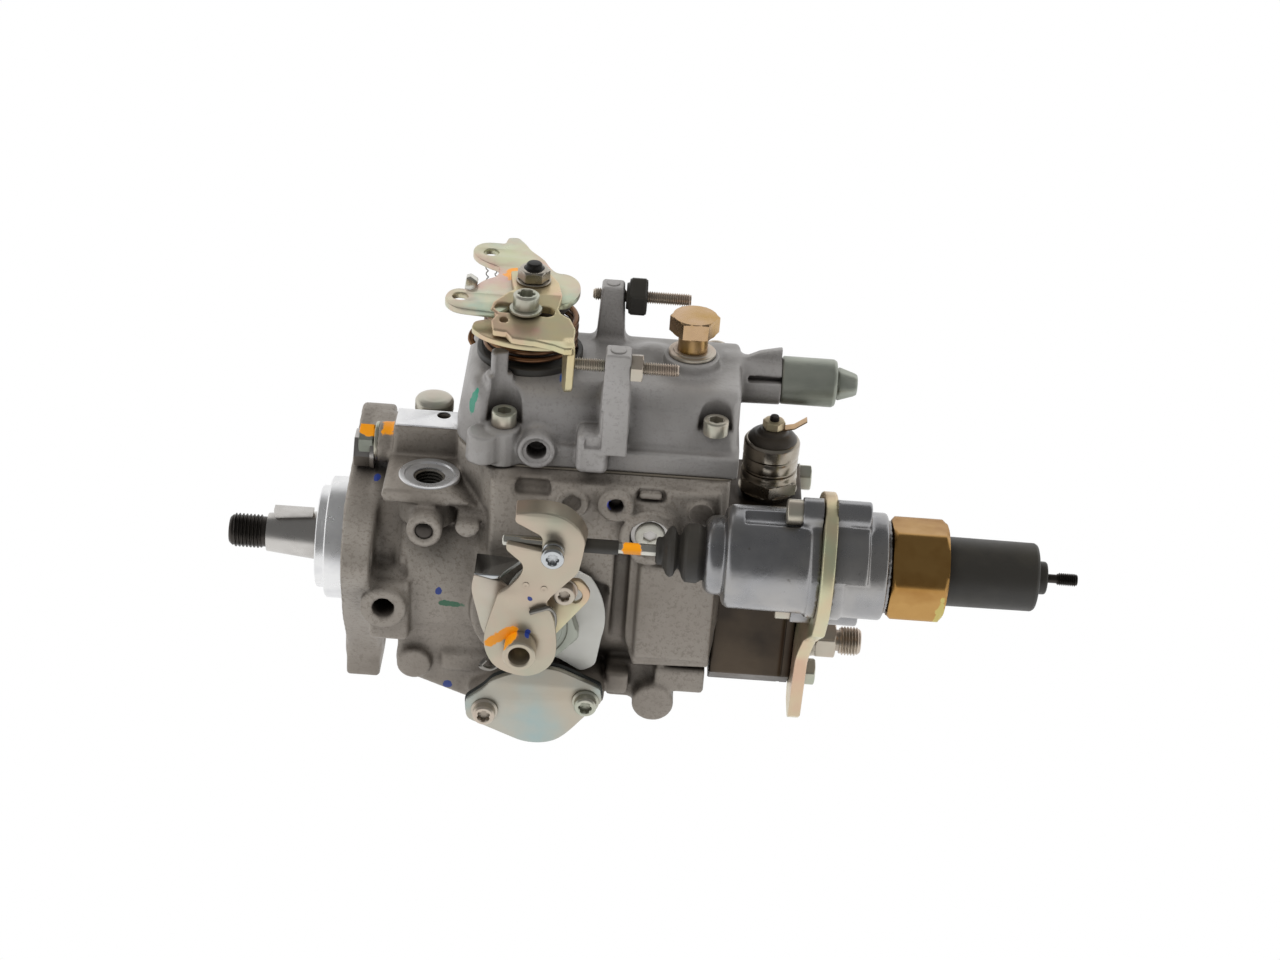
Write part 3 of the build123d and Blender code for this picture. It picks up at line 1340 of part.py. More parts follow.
with BuildPart() as actuator_housing:
    with BuildSketch(Plane.XZ.offset(-wax_y)) as actuator_profile:
        with BuildLine():
            Polyline((neck_x, wax_z), (neck_x, wax_z + 11), (neck_x + 2, wax_z + 14), (wax_x0, wax_z + 14.5),
                     (wax_x0 + 1, wax_z + wax_r - 1.5), (wax_x0 + 3, wax_z + wax_r),
                     (bracket_x, wax_z + wax_r + 1), (bracket_x, wax_z), close=True)
        make_face()
    revolve(axis=Axis((0, wax_y, wax_z), (1, 0, 0)))
    with BuildSketch(Plane.YZ.offset(bracket_x)) as actuator_lugs:
        with Locations(*wax_screws_at):
            Circle(5.2)
        make_hull()
    extrude(amount=-9)
    with BuildSketch(Plane.YZ.offset(piston_x - 8)) as actuator_room:
        with Locations((wax_y, wax_z)):
            Circle(wax_room_r)
    extrude(amount=bracket_x - piston_x + 8, mode=Mode.SUBTRACT)
    with BuildSketch(Plane.YZ.offset(neck_x)) as rod_bore:
        with Locations((wax_y, wax_z)):
            Circle(rod_d / 2 + slip)
    extrude(amount=piston_x - neck_x, mode=Mode.SUBTRACT)
    with BuildSketch(Plane.YZ.offset(bracket_x - 9)) as lug_bores:
        with Locations(*wax_screws_at):
            Circle(2.5)
    extrude(amount=9, mode=Mode.SUBTRACT)
    with BuildSketch(Plane.YZ.offset(bracket_x - 9)) as head_pockets:
        with Locations(*wax_screws_at):
            Circle(4.8)
    extrude(amount=-5.5, mode=Mode.SUBTRACT)
save(actuator_housing, "actuator_housing")
bracket_low = min(head_x1, bracket_x) - 1
bracket_span = max(head_x1, bracket_x) + bracket_t + 1 - bracket_low
bracket_top = wax_z + wax_r + 8
bracket_foot = head_bottom - 8
with BuildPart() as bracket:
    with BuildSketch(side.offset(-wax_y - 10)) as bracket_edge:
        with BuildLine():
            Polyline((bracket_x, bracket_top), (bracket_x + bracket_t, bracket_top),
                     (bracket_x + bracket_t, 11), (head_x1 + bracket_t, -3),
                     (head_x1 + bracket_t, bracket_foot), (head_x1, bracket_foot),
                     (head_x1, -3), (bracket_x, 11), close=True)
        make_face()
    extrude(amount=32)
    extrude(faces().sort_by(Axis.Y)[-1], amount=24)
    with BuildSketch(Plane.YZ.offset(bracket_low)) as bracket_trim:
        with BuildLine():
            Polyline((-90, 0), (-90, 30), (-80, 20), (-62, 8), (-52, -8), (-52, -50), (-90, -50), close=True)
        make_face()
        with BuildLine():
            Polyline((-27, 80), (-27, 62), (-27, -46), (-20, -46), (-20, 80), close=True)
        make_face()
        with BuildLine():
            Polyline((-44, 72), (-38, 14), (-26, 14), (-26, 72), close=True)
        make_face()
    extrude(amount=bracket_span, mode=Mode.SUBTRACT)
    with BuildSketch(Plane.YZ.offset(bracket_low)) as bracket_holes:
        with Locations((wax_y, wax_z)):
            Circle(wax_room_r)
        with Locations(*wax_screws_at):
            Circle(2.5)
        with Locations(head_bolts_at[0]):
            Circle(3)
    extrude(amount=bracket_span, mode=Mode.SUBTRACT)
save(bracket, "bracket")
element_x = bracket_x + bracket_t
hex_x = element_x + 22.0
with BuildPart() as element_housing:
    with BuildSketch(Plane.YZ.offset(element_x)) as element_face:
        with Locations((wax_y, wax_z)):
            Circle(wax_r + 1)
    extrude(amount=hex_x - element_x)
    with BuildSketch(Plane.YZ.offset(element_x)) as element_lugs:
        with Locations(*wax_screws_at):
            Circle(5.2)
        make_hull()
    extrude(amount=13)
    with BuildSketch(Plane.YZ.offset(element_x)) as element_room:
        with Locations((wax_y, wax_z)):
            Circle(wax_room_r)
    extrude(amount=hex_x - element_x, mode=Mode.SUBTRACT)
    with BuildSketch(Plane.YZ.offset(element_x)) as element_bores:
        with Locations(*wax_screws_at):
            Circle(2.5)
    extrude(amount=10, mode=Mode.SUBTRACT)
save(element_housing, "element_housing")
with BuildPart() as actuator_screws:
    for y, z in wax_screws_at:
        with BuildSketch(Plane.YZ.offset(bracket_x - 9)) as actuator_shank:
            with Locations((y, z)):
                Circle(2.5)
        extrude(amount=element_x + 8 - bracket_x + 9)
        with BuildSketch(Plane.YZ.offset(bracket_x - 9)) as actuator_head:
            with Locations((y, z)):
                Circle(4.3)
        extrude(amount=-5)
save(actuator_screws, "actuator_screws")
with BuildPart() as wax_element:
    with BuildSketch(Plane.YZ.offset(hex_x)) as wax_hex:
        with Locations((wax_y, wax_z)):
            RegularPolygon(17.5, 6, major_radius=False, rotation=30)
    extrude(amount=22)
    with BuildSketch(Plane.YZ.offset(hex_x)) as wax_thread:
        with Locations((wax_y, wax_z)):
            Circle(wax_room_r)
    extrude(amount=-12)
    with BuildSketch(Plane.YZ.offset(hex_x - 12)) as wax_nose:
        with Locations((wax_y, wax_z)):
            Circle(6)
    extrude(amount=-(hex_x - 12 - piston_x - 5 - 2 * gap))
save(wax_element, "wax_element")
cap_x = hex_x + 22.0
with BuildPart() as wax_cap:
    for x, r, length in ((cap_x, 13.2, 35), (cap_x + 35, 6.4, 4)):
        with BuildSketch(Plane.YZ.offset(x)) as cap_face:
            with Locations((wax_y, wax_z)):
                Circle(r)
        extrude(amount=length)
with BuildPart() as wax_stud:
    with BuildSketch(Plane.YZ.offset(cap_x + 39)) as stud_end:
        with Locations((wax_y, wax_z)):
            Circle(2.5)
    extrude(amount=12)
save_group([wax_cap, wax_stud], "wax_cap")
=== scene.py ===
from math import cos, sin, pi, radians
import bpy
import bmesh
import numpy as np
from mathutils import Matrix


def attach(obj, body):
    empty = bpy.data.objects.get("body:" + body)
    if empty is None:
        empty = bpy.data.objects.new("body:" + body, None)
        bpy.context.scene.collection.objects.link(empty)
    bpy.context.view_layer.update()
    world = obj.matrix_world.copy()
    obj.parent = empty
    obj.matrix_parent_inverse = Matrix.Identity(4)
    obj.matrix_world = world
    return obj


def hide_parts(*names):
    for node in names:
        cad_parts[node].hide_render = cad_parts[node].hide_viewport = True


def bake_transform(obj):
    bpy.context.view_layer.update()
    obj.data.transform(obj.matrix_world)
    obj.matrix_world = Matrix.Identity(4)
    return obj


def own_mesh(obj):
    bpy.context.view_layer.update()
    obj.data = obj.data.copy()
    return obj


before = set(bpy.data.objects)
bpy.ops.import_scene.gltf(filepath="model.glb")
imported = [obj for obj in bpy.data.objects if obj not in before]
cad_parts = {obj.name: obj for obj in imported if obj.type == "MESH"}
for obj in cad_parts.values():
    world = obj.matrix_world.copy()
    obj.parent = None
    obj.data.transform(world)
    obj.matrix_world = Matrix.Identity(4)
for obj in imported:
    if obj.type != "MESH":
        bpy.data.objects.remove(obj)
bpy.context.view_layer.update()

# Sizes are in millimetres here, and add_piece turns them into metres
metre = 0.001
turn = 2 * pi

# Places that several pieces share
origin = (0, 0, 0)
inlet_at = (37, -25, 0)
side_bolt_at = (1.5, 0, 46.4)
overflow_at = (136.5, -1, 0)
full_load_at = (0, 10, 82)
solenoid_at = (171.7, 3, 0)
lever_at = (73, 0, 0)
slot_screw_at = (71.4, -21.6, 0)
front_screw_at = (0, -38, 107.5)
rear_screw_at = (0, 20, 109.2)
actuator_y, actuator_z = -60.5, 41.5
actuator_at = (0, actuator_y, actuator_z)


def placed(right, up, away, place):
    """Matrix of a thing at a place, whose own axes point right, up and away from what it faces."""
    return Matrix([[right[k], up[k], away[k], place[k]] for k in range(3)] + [[0, 0, 0, 1]])


# Camera of the photograph: 30 degrees above the pump, 1027 mm from the drive flange, rolled a little
def place_camera():
    """Lens of 70.3 mm on a 36 mm sensor. The view's axes are the level axes, swung, tilted and rolled in
    turn."""
    tilt, swing, roll = radians(30), radians(-0.8), radians(4.5)
    right = np.array([cos(swing), sin(swing), 0])
    up = np.array([-sin(swing) * sin(tilt), cos(swing) * sin(tilt), cos(tilt)])
    ahead = np.array([-sin(swing) * cos(tilt), cos(swing) * cos(tilt), -sin(tilt)])
    across = cos(roll) * right + sin(roll) * up
    upward = cos(roll) * up - sin(roll) * right
    lens = bpy.data.cameras.new("camera")
    focal_pixels, picture_pixels, sensor = 2500, 1280, 36
    lens.lens = focal_pixels / picture_pixels * sensor
    lens.sensor_width = sensor
    lens.clip_start, lens.clip_end = 0.01, 20
    camera = bpy.data.objects.new("camera", lens)
    camera.matrix_world = placed(across, upward, -ahead, (0.1078, -0.87453, 0.54202))
    bpy.context.collection.objects.link(camera)
    bpy.context.scene.camera = camera


place_camera()


# Surfaces
def grid_faces(rows, columns, around=False):
    """Quads of a grid of points, row by row. around joins the last column to the first."""
    across = columns if around else columns - 1
    r, c = np.meshgrid(np.arange(rows - 1), np.arange(across), indexing="ij")
    d = (c + 1) % columns
    return np.stack([r * columns + c, r * columns + d, (r + 1) * columns + d, (r + 1) * columns + c],
        -1).reshape(-1, 4)


def tube_faces(rows, sides, caps=(True, True)):
    """Faces of a tube of points, ring by ring, with a cap on its first and its last ring where asked."""
    faces = grid_faces(rows, sides, around=True).tolist()
    if caps[0]:
        faces.append(list(range(sides)))
    if caps[1]:
        faces.append(((rows - 1) * sides + np.arange(sides))[::-1].tolist())
    return faces


def stand_piece(name, mesh, body, material, slot, replaces=(), sharp=0, bevel=0):
    """Object of a smooth mesh, whose edges sharper than an angle stay crisp. A bevel, in millimetres, rounds
    them. It rides its body and stands for the nodes that it replaces. Its slot is not used."""
    mesh.shade_smooth()
    if sharp:
        mesh.set_sharp_from_angle(angle=radians(sharp))
    mesh.materials.append(material)
    piece = bpy.data.objects.new(name, mesh)
    bpy.context.collection.objects.link(piece)
    if bevel:
        rounding = piece.modifiers.new("rounding", "BEVEL")
        rounding.width = bevel * metre
        rounding.segments = 2
        rounding.limit_method = "ANGLE"
        rounding.angle_limit = radians(35)
        rounding.harden_normals = True
    if body:
        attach(piece, body)
    if replaces:
        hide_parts(*replaces)
    return piece


def add_piece(name, points, faces, body, material, slot, sharp=38, **more):
    """Puts points, in millimetres, and faces into one mesh, closes its seams and turns its faces outwards."""
    mesh = bpy.data.meshes.new(name)
    mesh.from_pydata((np.asarray(points, float) * metre).tolist(), [], [list(map(int, f)) for f in faces])
    shape = bmesh.new()
    shape.from_mesh(mesh)
    bmesh.ops.remove_doubles(shape, verts=shape.verts, dist=2e-6)
    bmesh.ops.dissolve_degenerate(shape, edges=shape.edges, dist=1e-7)
    bmesh.ops.recalc_face_normals(shape, faces=shape.faces)
    shape.to_mesh(mesh)
    shape.free()
    return stand_piece(name, mesh, body, material, slot, sharp=sharp, **more)


def add_group(name, shapes, body, material, slot, **more):
    """Several closed surfaces, each a pair of points and faces, in one piece."""
    points, faces, start = [], [], 0
    for shape_points, shape_faces in shapes:
        points.append(np.asarray(shape_points, float))
        faces.extend([[start + int(k) for k in face] for face in shape_faces])
        start += len(shape_points)
    return add_piece(name, np.concatenate(points), faces, body, material, slot, **more)


# Directions that a shape can be stood along: its two axes across, and the one along it
stands = {"+x": ((0, 1, 0), (0, 0, 1), (1, 0, 0)), "-x": ((0, -1, 0), (0, 0, 1), (-1, 0, 0)),
    "+y": ((-1, 0, 0), (0, 0, 1), (0, 1, 0)), "-y": ((1, 0, 0), (0, 0, 1), (0, -1, 0)),
    "+z": ((1, 0, 0), (0, 1, 0), (0, 0, 1)), "-z": ((1, 0, 0), (0, -1, 0), (0, 0, -1))}


def stood(a, b, h, at, way):
    """Local across, across and along measures turned to the named direction and moved to a point."""
    frame_axes = np.array(stands[way] if isinstance(way, str) else way, float)
    return np.stack([np.ravel(a), np.ravel(b), np.ravel(h)], 1) @ frame_axes + np.array(at, float)


def eased(profile, radius):
    """A profile whose inner corners are cut back by a radius, at most by the share called most of a run, and
    passed in three points."""
    line = np.array(profile, float)
    before, corner, after = line[:-2], line[1:-1], line[2:]
    back, on = before - corner, after - corner
    reach_back = np.linalg.norm(back[:, :2], axis=1, keepdims=True)
    reach_on = np.linalg.norm(on[:, :2], axis=1, keepdims=True)
    most, tiny = 0.45, 1e-6
    first = corner + back * np.minimum(most, radius / np.maximum(reach_back, tiny))
    last = corner + on * np.minimum(most, radius / np.maximum(reach_on, tiny))
    middle = 0.25 * first + 0.5 * corner + 0.25 * last
    for part in (first, middle, last):
        part[:, 2:] = corner[:, 2:]
    inner = np.stack([first, middle, last], 1).reshape(-1, line.shape[1])
    return np.concatenate([line[:1], inner, line[-1:]])


def turned(profile, at, way, ease=0.3, sides=96, phase=0):
    """Surface of revolution of (height, radius, flats): where flats isn't 0 the radius is cut to a hexagon of
    that half width, and a negative flats makes a six lobed star whose radius swings by that share."""
    rows = np.array([tuple(p) + (0,) * (3 - len(p)) for p in profile], float)
    rows = eased(rows, ease) if ease else rows
    angle = phase + np.linspace(0, turn, sides, endpoint=False)
    height, radius, flats = rows[:, 0:1], rows[:, 1:2], rows[:, 2:3]
    swing = (angle - phase + pi / 6) % (pi / 3) - pi / 6
    flat_radius = np.where(flats > 0, flats, 1e6) / np.cos(swing)[None, :]
    reach = np.minimum(radius + 0 * angle[None, :], flat_radius)
    reach = reach * (1 + np.minimum(flats, 0) * -1 * np.cos(6 * (angle - phase))[None, :])
    points = stood(reach * np.cos(angle), reach * np.sin(angle), height + 0 * reach, at, way)
    closed = np.allclose(rows[0], rows[-1])
    return points, tube_faces(len(rows), sides, [rows[end, 1] > 1e-6 and not closed for end in (0, -1)])


def add_turned(name, profile, at, way, ease, body, material, slot, phase=0, sides=96, **more):
    """A piece that is one surface of revolution."""
    return add_group(name, [turned(profile, at, way, ease, sides, phase)], body, material, slot, **more)


def thread(start, end, radius, pitch, at, way, depth=None, sides=40, steps=8):
    """Screw thread: the radius at an angle and a height falls from the crest to the root and back once each
    pitch, and its phase follows the angle, so the crest climbs one pitch a turn. It fades out over the last
    pitch."""
    depth = 0.6 * pitch if depth is None else depth
    widest, flank, run_out = 1.3, 3.2, 0.9
    count = int(round((end - start) / pitch * steps)) + 1
    height = np.linspace(start, end, count)[:, None]
    angle = np.linspace(0, turn, sides, endpoint=False)[None, :]
    phase = (height / pitch - angle / turn) % 1.0
    crest = np.clip(widest - np.abs(phase - 0.5) * flank, 0, 1)
    fade = np.clip(np.minimum(height - start, end - height) / (run_out * pitch), 0, 1)
    reach = radius - depth * (1 - crest * fade)
    points = stood(reach * np.cos(angle), reach * np.sin(angle), height + 0 * reach, at, way)
    return points, tube_faces(count, sides)


def wire(path, radius, sides=12):
    """Round section carried along a path: at each point the circle lies square to the path, and its own axes
    are carried on from a fixed side direction. The ends are closed."""
    path = np.array(path, float)
    along = np.gradient(path, axis=0)
    along /= np.linalg.norm(along, axis=1, keepdims=True)
    side = np.cross(along, np.array([0.31, 0.17, 0.93]))
    side /= np.linalg.norm(side, axis=1, keepdims=True)
    other = np.cross(along, side)
    angle = np.linspace(0, turn, sides, endpoint=False)
    share, other_share = np.cos(angle)[None, :, None], np.sin(angle)[None, :, None]
    ring = radius * (share * side[:, None] + other_share * other[:, None])
    points = (path[:, None] + ring).reshape(-1, 3)
    return points, tube_faces(len(path), sides)


def smooth_line(points, count):
    """Curve of cubic pieces through the points, each with the slope of its two neighbours."""
    line = np.array(points, float)
    line = np.concatenate([2 * line[:1] - line[1:2], line, 2 * line[-1:] - line[-2:-1]])
    place = np.linspace(0, len(points) - 1 - 1e-9, count)
    k = place.astype(int)
    t = (place - k)[:, None]
    a, b, c, d = line[k], line[k + 1], line[k + 2], line[k + 3]
    square, cube = 2 * a - 5 * b + 4 * c - d, 3 * b - a - 3 * c + d
    return 0.5 * (2 * b + (c - a) * t + square * t ** 2 + cube * t ** 3)


def loop_corners(corners, rounding=3, steps=5):
    """Closed outline whose corners are passed by arcs of a quadratic curve, cut back by each corner's own
    rounding, at most by the share called most of a run."""
    corner = np.array([c[:2] for c in corners], float)
    cut = np.array([c[2] if len(c) > 2 else rounding for c in corners], float)[:, None]
    back, on = np.roll(corner, 1, 0) - corner, np.roll(corner, -1, 0) - corner
    most = 0.48
    first = corner + back * np.minimum(most, cut / np.linalg.norm(back, axis=1, keepdims=True))
    last = corner + on * np.minimum(most, cut / np.linalg.norm(on, axis=1, keepdims=True))
    t = np.linspace(0, 1, steps)[None, :, None]
    arc = (1 - t) ** 2 * first[:, None] + 2 * t * (1 - t) * corner[:, None] + t ** 2 * last[:, None]
    return arc.reshape(-1, 2)


def ring_line(centre, radius, count=32):
    """Closed circle of points."""
    angle = np.linspace(0, turn, count, endpoint=False)
    return np.stack([centre[0] + radius * np.cos(angle), centre[1] + radius * np.sin(angle)], 1)


def plate(name, loops, low, high, at, way, body, material, slot, edge=0.35, **more):
    """Pressed plate: its closed outline, less the holes that the other loops give, carried straight through
    its thickness, with both rims eased."""
    curve = bpy.data.curves.new(name, "CURVE")
    curve.dimensions = "2D"
    curve.fill_mode = "BOTH"
    curve.extrude = ((high - low) / 2 - edge) * metre
    curve.bevel_depth = edge * metre
    curve.offset = -edge * metre
    curve.bevel_resolution = 1
    for loop in loops:
        line = curve.splines.new("POLY")
        line.points.add(len(loop) - 1)
        spots = np.zeros((len(loop), 4))
        spots[:, :2] = np.asarray(loop) * metre
        spots[:, 3] = 1
        line.points.foreach_set("co", spots.ravel())
        line.use_cyclic_u = True
    flat = bpy.data.objects.new(name + "_line", curve)
    bpy.context.collection.objects.link(flat)
    bpy.context.view_layer.update()
    mesh = bpy.data.meshes.new_from_object(flat)
    bpy.data.objects.remove(flat)
    spots = np.zeros(len(mesh.vertices) * 3)
    mesh.vertices.foreach_get("co", spots)
    spots = spots.reshape(-1, 3) / metre
    faces = [list(p.vertices) for p in mesh.polygons]
    points = stood(spots[:, 0], spots[:, 1], spots[:, 2] + (low + high) / 2, at, way)
    bpy.data.meshes.remove(mesh)
    return add_piece(name, points, faces, body, material, slot, sharp=50, **more)


# Castings: the surface where a signed distance is nought, so that forms run into each other with a fillet
def level_surface(distance, low, high, cell):
    """One point in each cell of a 3-D grid that the surface crosses, at the mean of the crossings of its
    edges, joined by a quad round each edge that is crossed, and then moved along the distance's slope on to
    the surface."""
    axes = [np.arange(a, b + cell, cell) for a, b in zip(low, high)]
    field = distance(*np.meshgrid(*axes, indexing="ij"))
    inside = field < 0
    corners = [(i, j, k) for i in (0, 1) for j in (0, 1) for k in (0, 1)]
    size = [n - 1 for n in field.shape]
    count = sum(inside[i:i + size[0], j:j + size[1], k:k + size[2]].astype(np.int8) for i, j, k in corners)
    cells = np.argwhere((count > 0) & (count < 8))
    number = np.full(size, -1, np.int32)
    number[tuple(cells.T)] = np.arange(len(cells))
    total, hits = np.zeros((len(cells), 3)), np.zeros((len(cells), 1))
    for axis in range(3):
        for step in [c for c in corners if c[axis] == 0]:
            start = cells + np.array(step)
            end = start.copy()
            end[:, axis] += 1
            a, b = field[tuple(start.T)], field[tuple(end.T)]
            crossed = ((a < 0) != (b < 0))[:, None]
            share = (a / np.where(a == b, 1, a - b))[:, None]
            total += np.where(crossed, start + share * (end - start), 0)
            hits += crossed
    points = total / hits * cell + np.array(low)
    faces = []
    for axis in range(3):
        u, v = (axis + 1) % 3, (axis + 2) % 3
        start = np.argwhere(np.diff(inside.astype(np.int8), axis=axis) != 0)
        within = (start[:, u] > 0) & (start[:, v] > 0) & (start[:, u] < size[u]) & (start[:, v] < size[v])
        start = start[within]
        outward = inside[tuple(start.T)]
        ring = []
        for du, dv in ((-1, -1), (0, -1), (0, 0), (-1, 0)):
            spot = start.copy()
            spot[:, u] += du
            spot[:, v] += dv
            ring.append(number[tuple(spot.T)])
        quads = np.stack(ring, 1)
        faces.append(np.where(outward[:, None], quads, quads[:, ::-1]))
    for _ in range(2):
        x, y, z = points.T
        here = distance(x, y, z)
        step = 0.05
        slope = np.stack([distance(x + step, y, z) - here, distance(x, y + step, z) - here,
            distance(x, y, z + step) - here], 1) / step
        move = -here[:, None] * slope / np.maximum((slope ** 2).sum(1, keepdims=True), 0.25)
        points = points + np.clip(move, -0.5 * cell, 0.5 * cell)
    return points, np.concatenate(faces)


def add_cast(name, distance, low, high, cell, body, material, slot, **more):
    """Piece made from a level surface. Its quads already point outwards."""
    points, faces = level_surface(distance, low, high, cell)
    mesh = bpy.data.meshes.new(name)
    mesh.vertices.add(len(points))
    mesh.vertices.foreach_set("co", (points * metre).astype(np.float32).ravel())
    mesh.loops.add(faces.size)
    mesh.loops.foreach_set("vertex_index", faces.astype(np.int32).ravel())
    mesh.polygons.add(len(faces))
    mesh.polygons.foreach_set("loop_start", np.arange(0, faces.size, 4, dtype=np.int32))
    mesh.update(calc_edges=True)
    mesh.validate()
    return stand_piece(name, mesh, body, material, slot, **more)


def joined(a, b, fillet):
    """Both forms, with a fillet where they meet: the lesser distance, less a rounding term near where they
    are equal."""
    share = np.clip(0.5 + 0.5 * (b - a) / fillet, 0, 1)
    return b + (a - b) * share - fillet * share * (1 - share)


def taken(a, b, fillet):
    """The first form less the second, with a fillet along the rim."""
    return -joined(-a, b, fillet)


def block(x, y, z, low, high, rounding):
    """Distance to a box with rounded edges."""
    centre = [(a + b) / 2 for a, b in zip(low, high)]
    half = [(b - a) / 2 - rounding for a, b in zip(low, high)]
    over = [np.abs(v - c) - h for v, c, h in zip((x, y, z), centre, half)]
    outside = np.sqrt(sum(np.maximum(q, 0) ** 2 for q in over))
    return outside + np.minimum(np.maximum(np.maximum(over[0], over[1]), over[2]), 0) - rounding


def rim_distance(wide, tall):
    """Distance to a square edge from how far a point lies past its side and past its end: the diagonal
    outside."""
    outside = np.sqrt(np.maximum(wide, 0) ** 2 + np.maximum(tall, 0) ** 2)
    return outside + np.minimum(np.maximum(wide, tall), 0)


def round_bar(across, other, along, radius, start, end, rounding=0.8, draft=0):
    """Distance to a round bar: across and other are measured from its axis, and draft widens it towards its
    start."""
    wide = np.sqrt(across ** 2 + other ** 2) - (radius - rounding) - draft * (end - along)
    tall = np.abs(along - (start + end) / 2) - ((end - start) / 2 - rounding)
    return rim_distance(wide, tall) - rounding


def outline_distance(u, v, corners):
    """Distance to a closed outline of straight runs: the nearest run's, negative inside."""
    nearest = np.full(u.shape, 1e9)
    sign = np.ones(u.shape)
    for (au, av), (bu, bv) in zip(corners, corners[1:] + corners[:1]):
        eu, ev = bu - au, bv - av
        wu, wv = u - au, v - av
        t = np.clip((wu * eu + wv * ev) / (eu * eu + ev * ev), 0, 1)
        nearest = np.minimum(nearest, (wu - eu * t) ** 2 + (wv - ev * t) ** 2)
        above, below, left = v >= av, v < bv, eu * wv > ev * wu
        sign = np.where((above & below & left) | (~above & ~below & ~left), -sign, sign)
    return sign * np.sqrt(nearest)


def slab(flat, along, start, end, rounding=0.8):
    """Distance to an outline's own distance carried straight from start to end, with rounded rims."""
    wide = flat + rounding
    tall = np.abs(along - (start + end) / 2) - ((end - start) / 2 - rounding)
    return rim_distance(wide, tall) - rounding


def link_distance(u, v, first, second):
    """Distance to the hull of two circles (u, v, radius): the nearer of the line between them and their
    rims."""
    (au, av, ar), (bu, bv, br) = first, second
    eu, ev = bu - au, bv - av
    length = np.hypot(eu, ev)
    eu, ev = eu / length, ev / length
    along = (u - au) * eu + (v - av) * ev
    across = np.abs((v - av) * eu - (u - au) * ev)
    lean = (ar - br) / length
    slope = np.sqrt(max(1e-9, 1 - lean * lean))
    k = along * slope - across * lean
    side = across * slope + along * lean - ar
    return np.where(k < 0, np.hypot(along, across) - ar,
        np.where(k > length * slope, np.hypot(along - length, across) - br, side))


# Finishes, most of them with painted shade darkening their corners
def linear(code):
    """sRGB hex colour in linear numbers: ((c + 0.055) / 1.055) to the power 2.4, or c / 12.92 where c is
    small."""
    shares = [int(code[k:k + 2], 16) / 255 for k in (1, 3, 5)]
    return [c / 12.92 if c <= 0.04045 else ((c + 0.055) / 1.055) ** 2.4 for c in shares] + [1]


def add_node(tree, kind, inputs=(), **settings):
    """Adds a node, makes its settings, and gives each named or numbered socket its value or the socket that
    feeds it."""
    made = tree.nodes.new("ShaderNode" + kind)
    for key, value in settings.items():
        setattr(made, key, value)
    for key, value in dict(inputs).items():
        if isinstance(value, bpy.types.NodeSocket):
            tree.links.new(value, made.inputs[key])
        else:
            made.inputs[key].default_value = value
    return made


def surface(name, colour, other=None, drift=20, metallic=0, roughness=0.5, rough_swing=0, grain=None,
        crevice_shade=None, specks=None, marks=()):
    """One finish: two colours that noise of drift mm mixes, painted shade that darkens the corners where
    ambient occlusion finds them closed in, specks where fine noise is high, dabs of paint inside ragged
    ellipsoids, and a grain that raises the surface by a height at each noise feature."""
    material = bpy.data.materials.new(name)
    material.use_nodes = True
    tree = material.node_tree
    tree.nodes.clear()
    place = add_node(tree, "TexCoord").outputs["Object"]
    shader = add_node(tree, "BsdfPrincipled", {"IOR": 1.5})
    add_node(tree, "OutputMaterial", {"Surface": shader.outputs[0]})

    def noise(size, detail=4, rough=0.6):
        """Noise whose features are about size mm across. A cell of the noise holds about 1.6 of them."""
        return add_node(tree, "TexNoise", {"Vector": place, "Scale": 1000 / size / 1.6, "Detail": detail,
            "Roughness": rough}).outputs["Fac"]

    def mix(share, first, second):
        """First colour to second, by a share that is a number or a socket."""
        return add_node(tree, "Mix", {0: share, 6: first, 7: second}, data_type="RGBA").outputs[2]

    def between(value, low, high, out_low=0, out_high=1):
        """A value's place between low and high, drawn out from out_low to out_high."""
        return add_node(tree, "MapRange", {"Value": value, "From Min": low, "From Max": high,
            "To Min": out_low, "To Max": out_high}).outputs[0]

    paint, painted = linear(colour), None
    if other:
        for k, second in enumerate([other] if isinstance(other, str) else other):
            share = between(noise(drift * (1 + 0.6 * k), 3), 0.42, 0.66)
            paint = mix(share, paint, linear(second))
    if specks:
        speck_colour, speck_size, speck_share = specks
        paint = mix(between(noise(speck_size, 6, 0.75), 0.70 - speck_share, 0.74 - speck_share, 0, 0.8),
            paint, linear(speck_colour))
    # painted shade: the colour goes towards the shade colour, by up to the strength, where ambient occlusion
    # within the reach finds the surface closed in
    if crevice_shade:
        shade_colour, reach, strength = crevice_shade
        open_share = add_node(tree, "AmbientOcclusion", {"Distance": reach * metre}, samples=6).outputs["AO"]
        paint = mix(between(open_share, 0.95, 0.25, 0, strength), paint, linear(shade_colour))
    for mark_colour, centre, half, *twist in marks:
        spot = add_node(tree, "Mapping", {"Vector": place, "Location": [c * metre for c in centre],
            "Rotation": [radians(t) for t in (twist[0] if twist else origin)],
            "Scale": [h * metre for h in half]}, vector_type="TEXTURE")
        reach = add_node(tree, "VectorMath", {0: spot.outputs[0]}, operation="LENGTH").outputs["Value"]
        ragged = add_node(tree, "Math", {0: reach, 1: between(noise(3.5, 3), 0.2, 0.8, -0.5, 0.5)},
            operation="ADD")
        inside = between(ragged.outputs[0], 1, 0.88)
        paint = mix(inside, paint, linear(mark_colour))
        painted = inside if painted is None else add_node(tree, "Math", {0: painted, 1: inside},
            operation="MAXIMUM", use_clamp=True).outputs[0]
    for socket, value in (("Base Color", paint), ("Metallic", metallic), ("Roughness", roughness)):
        if socket == "Metallic" and painted is not None and metallic:
            value = between(painted, 0, 1, metallic, 0)
        if socket == "Roughness" and rough_swing:
            value = between(noise(drift * 0.4, 5), 0.3, 0.7, roughness - rough_swing, roughness + rough_swing)
        if isinstance(value, bpy.types.NodeSocket):
            tree.links.new(value, shader.inputs[socket])
        else:
            shader.inputs[socket].default_value = value
    if grain:
        size, height = grain
        bump = add_node(tree, "Bump", {"Height": noise(size, 3, 0.55), "Distance": height * metre,
            "Strength": 1.0})
        tree.links.new(bump.outputs[0], shader.inputs["Normal"])
    return material


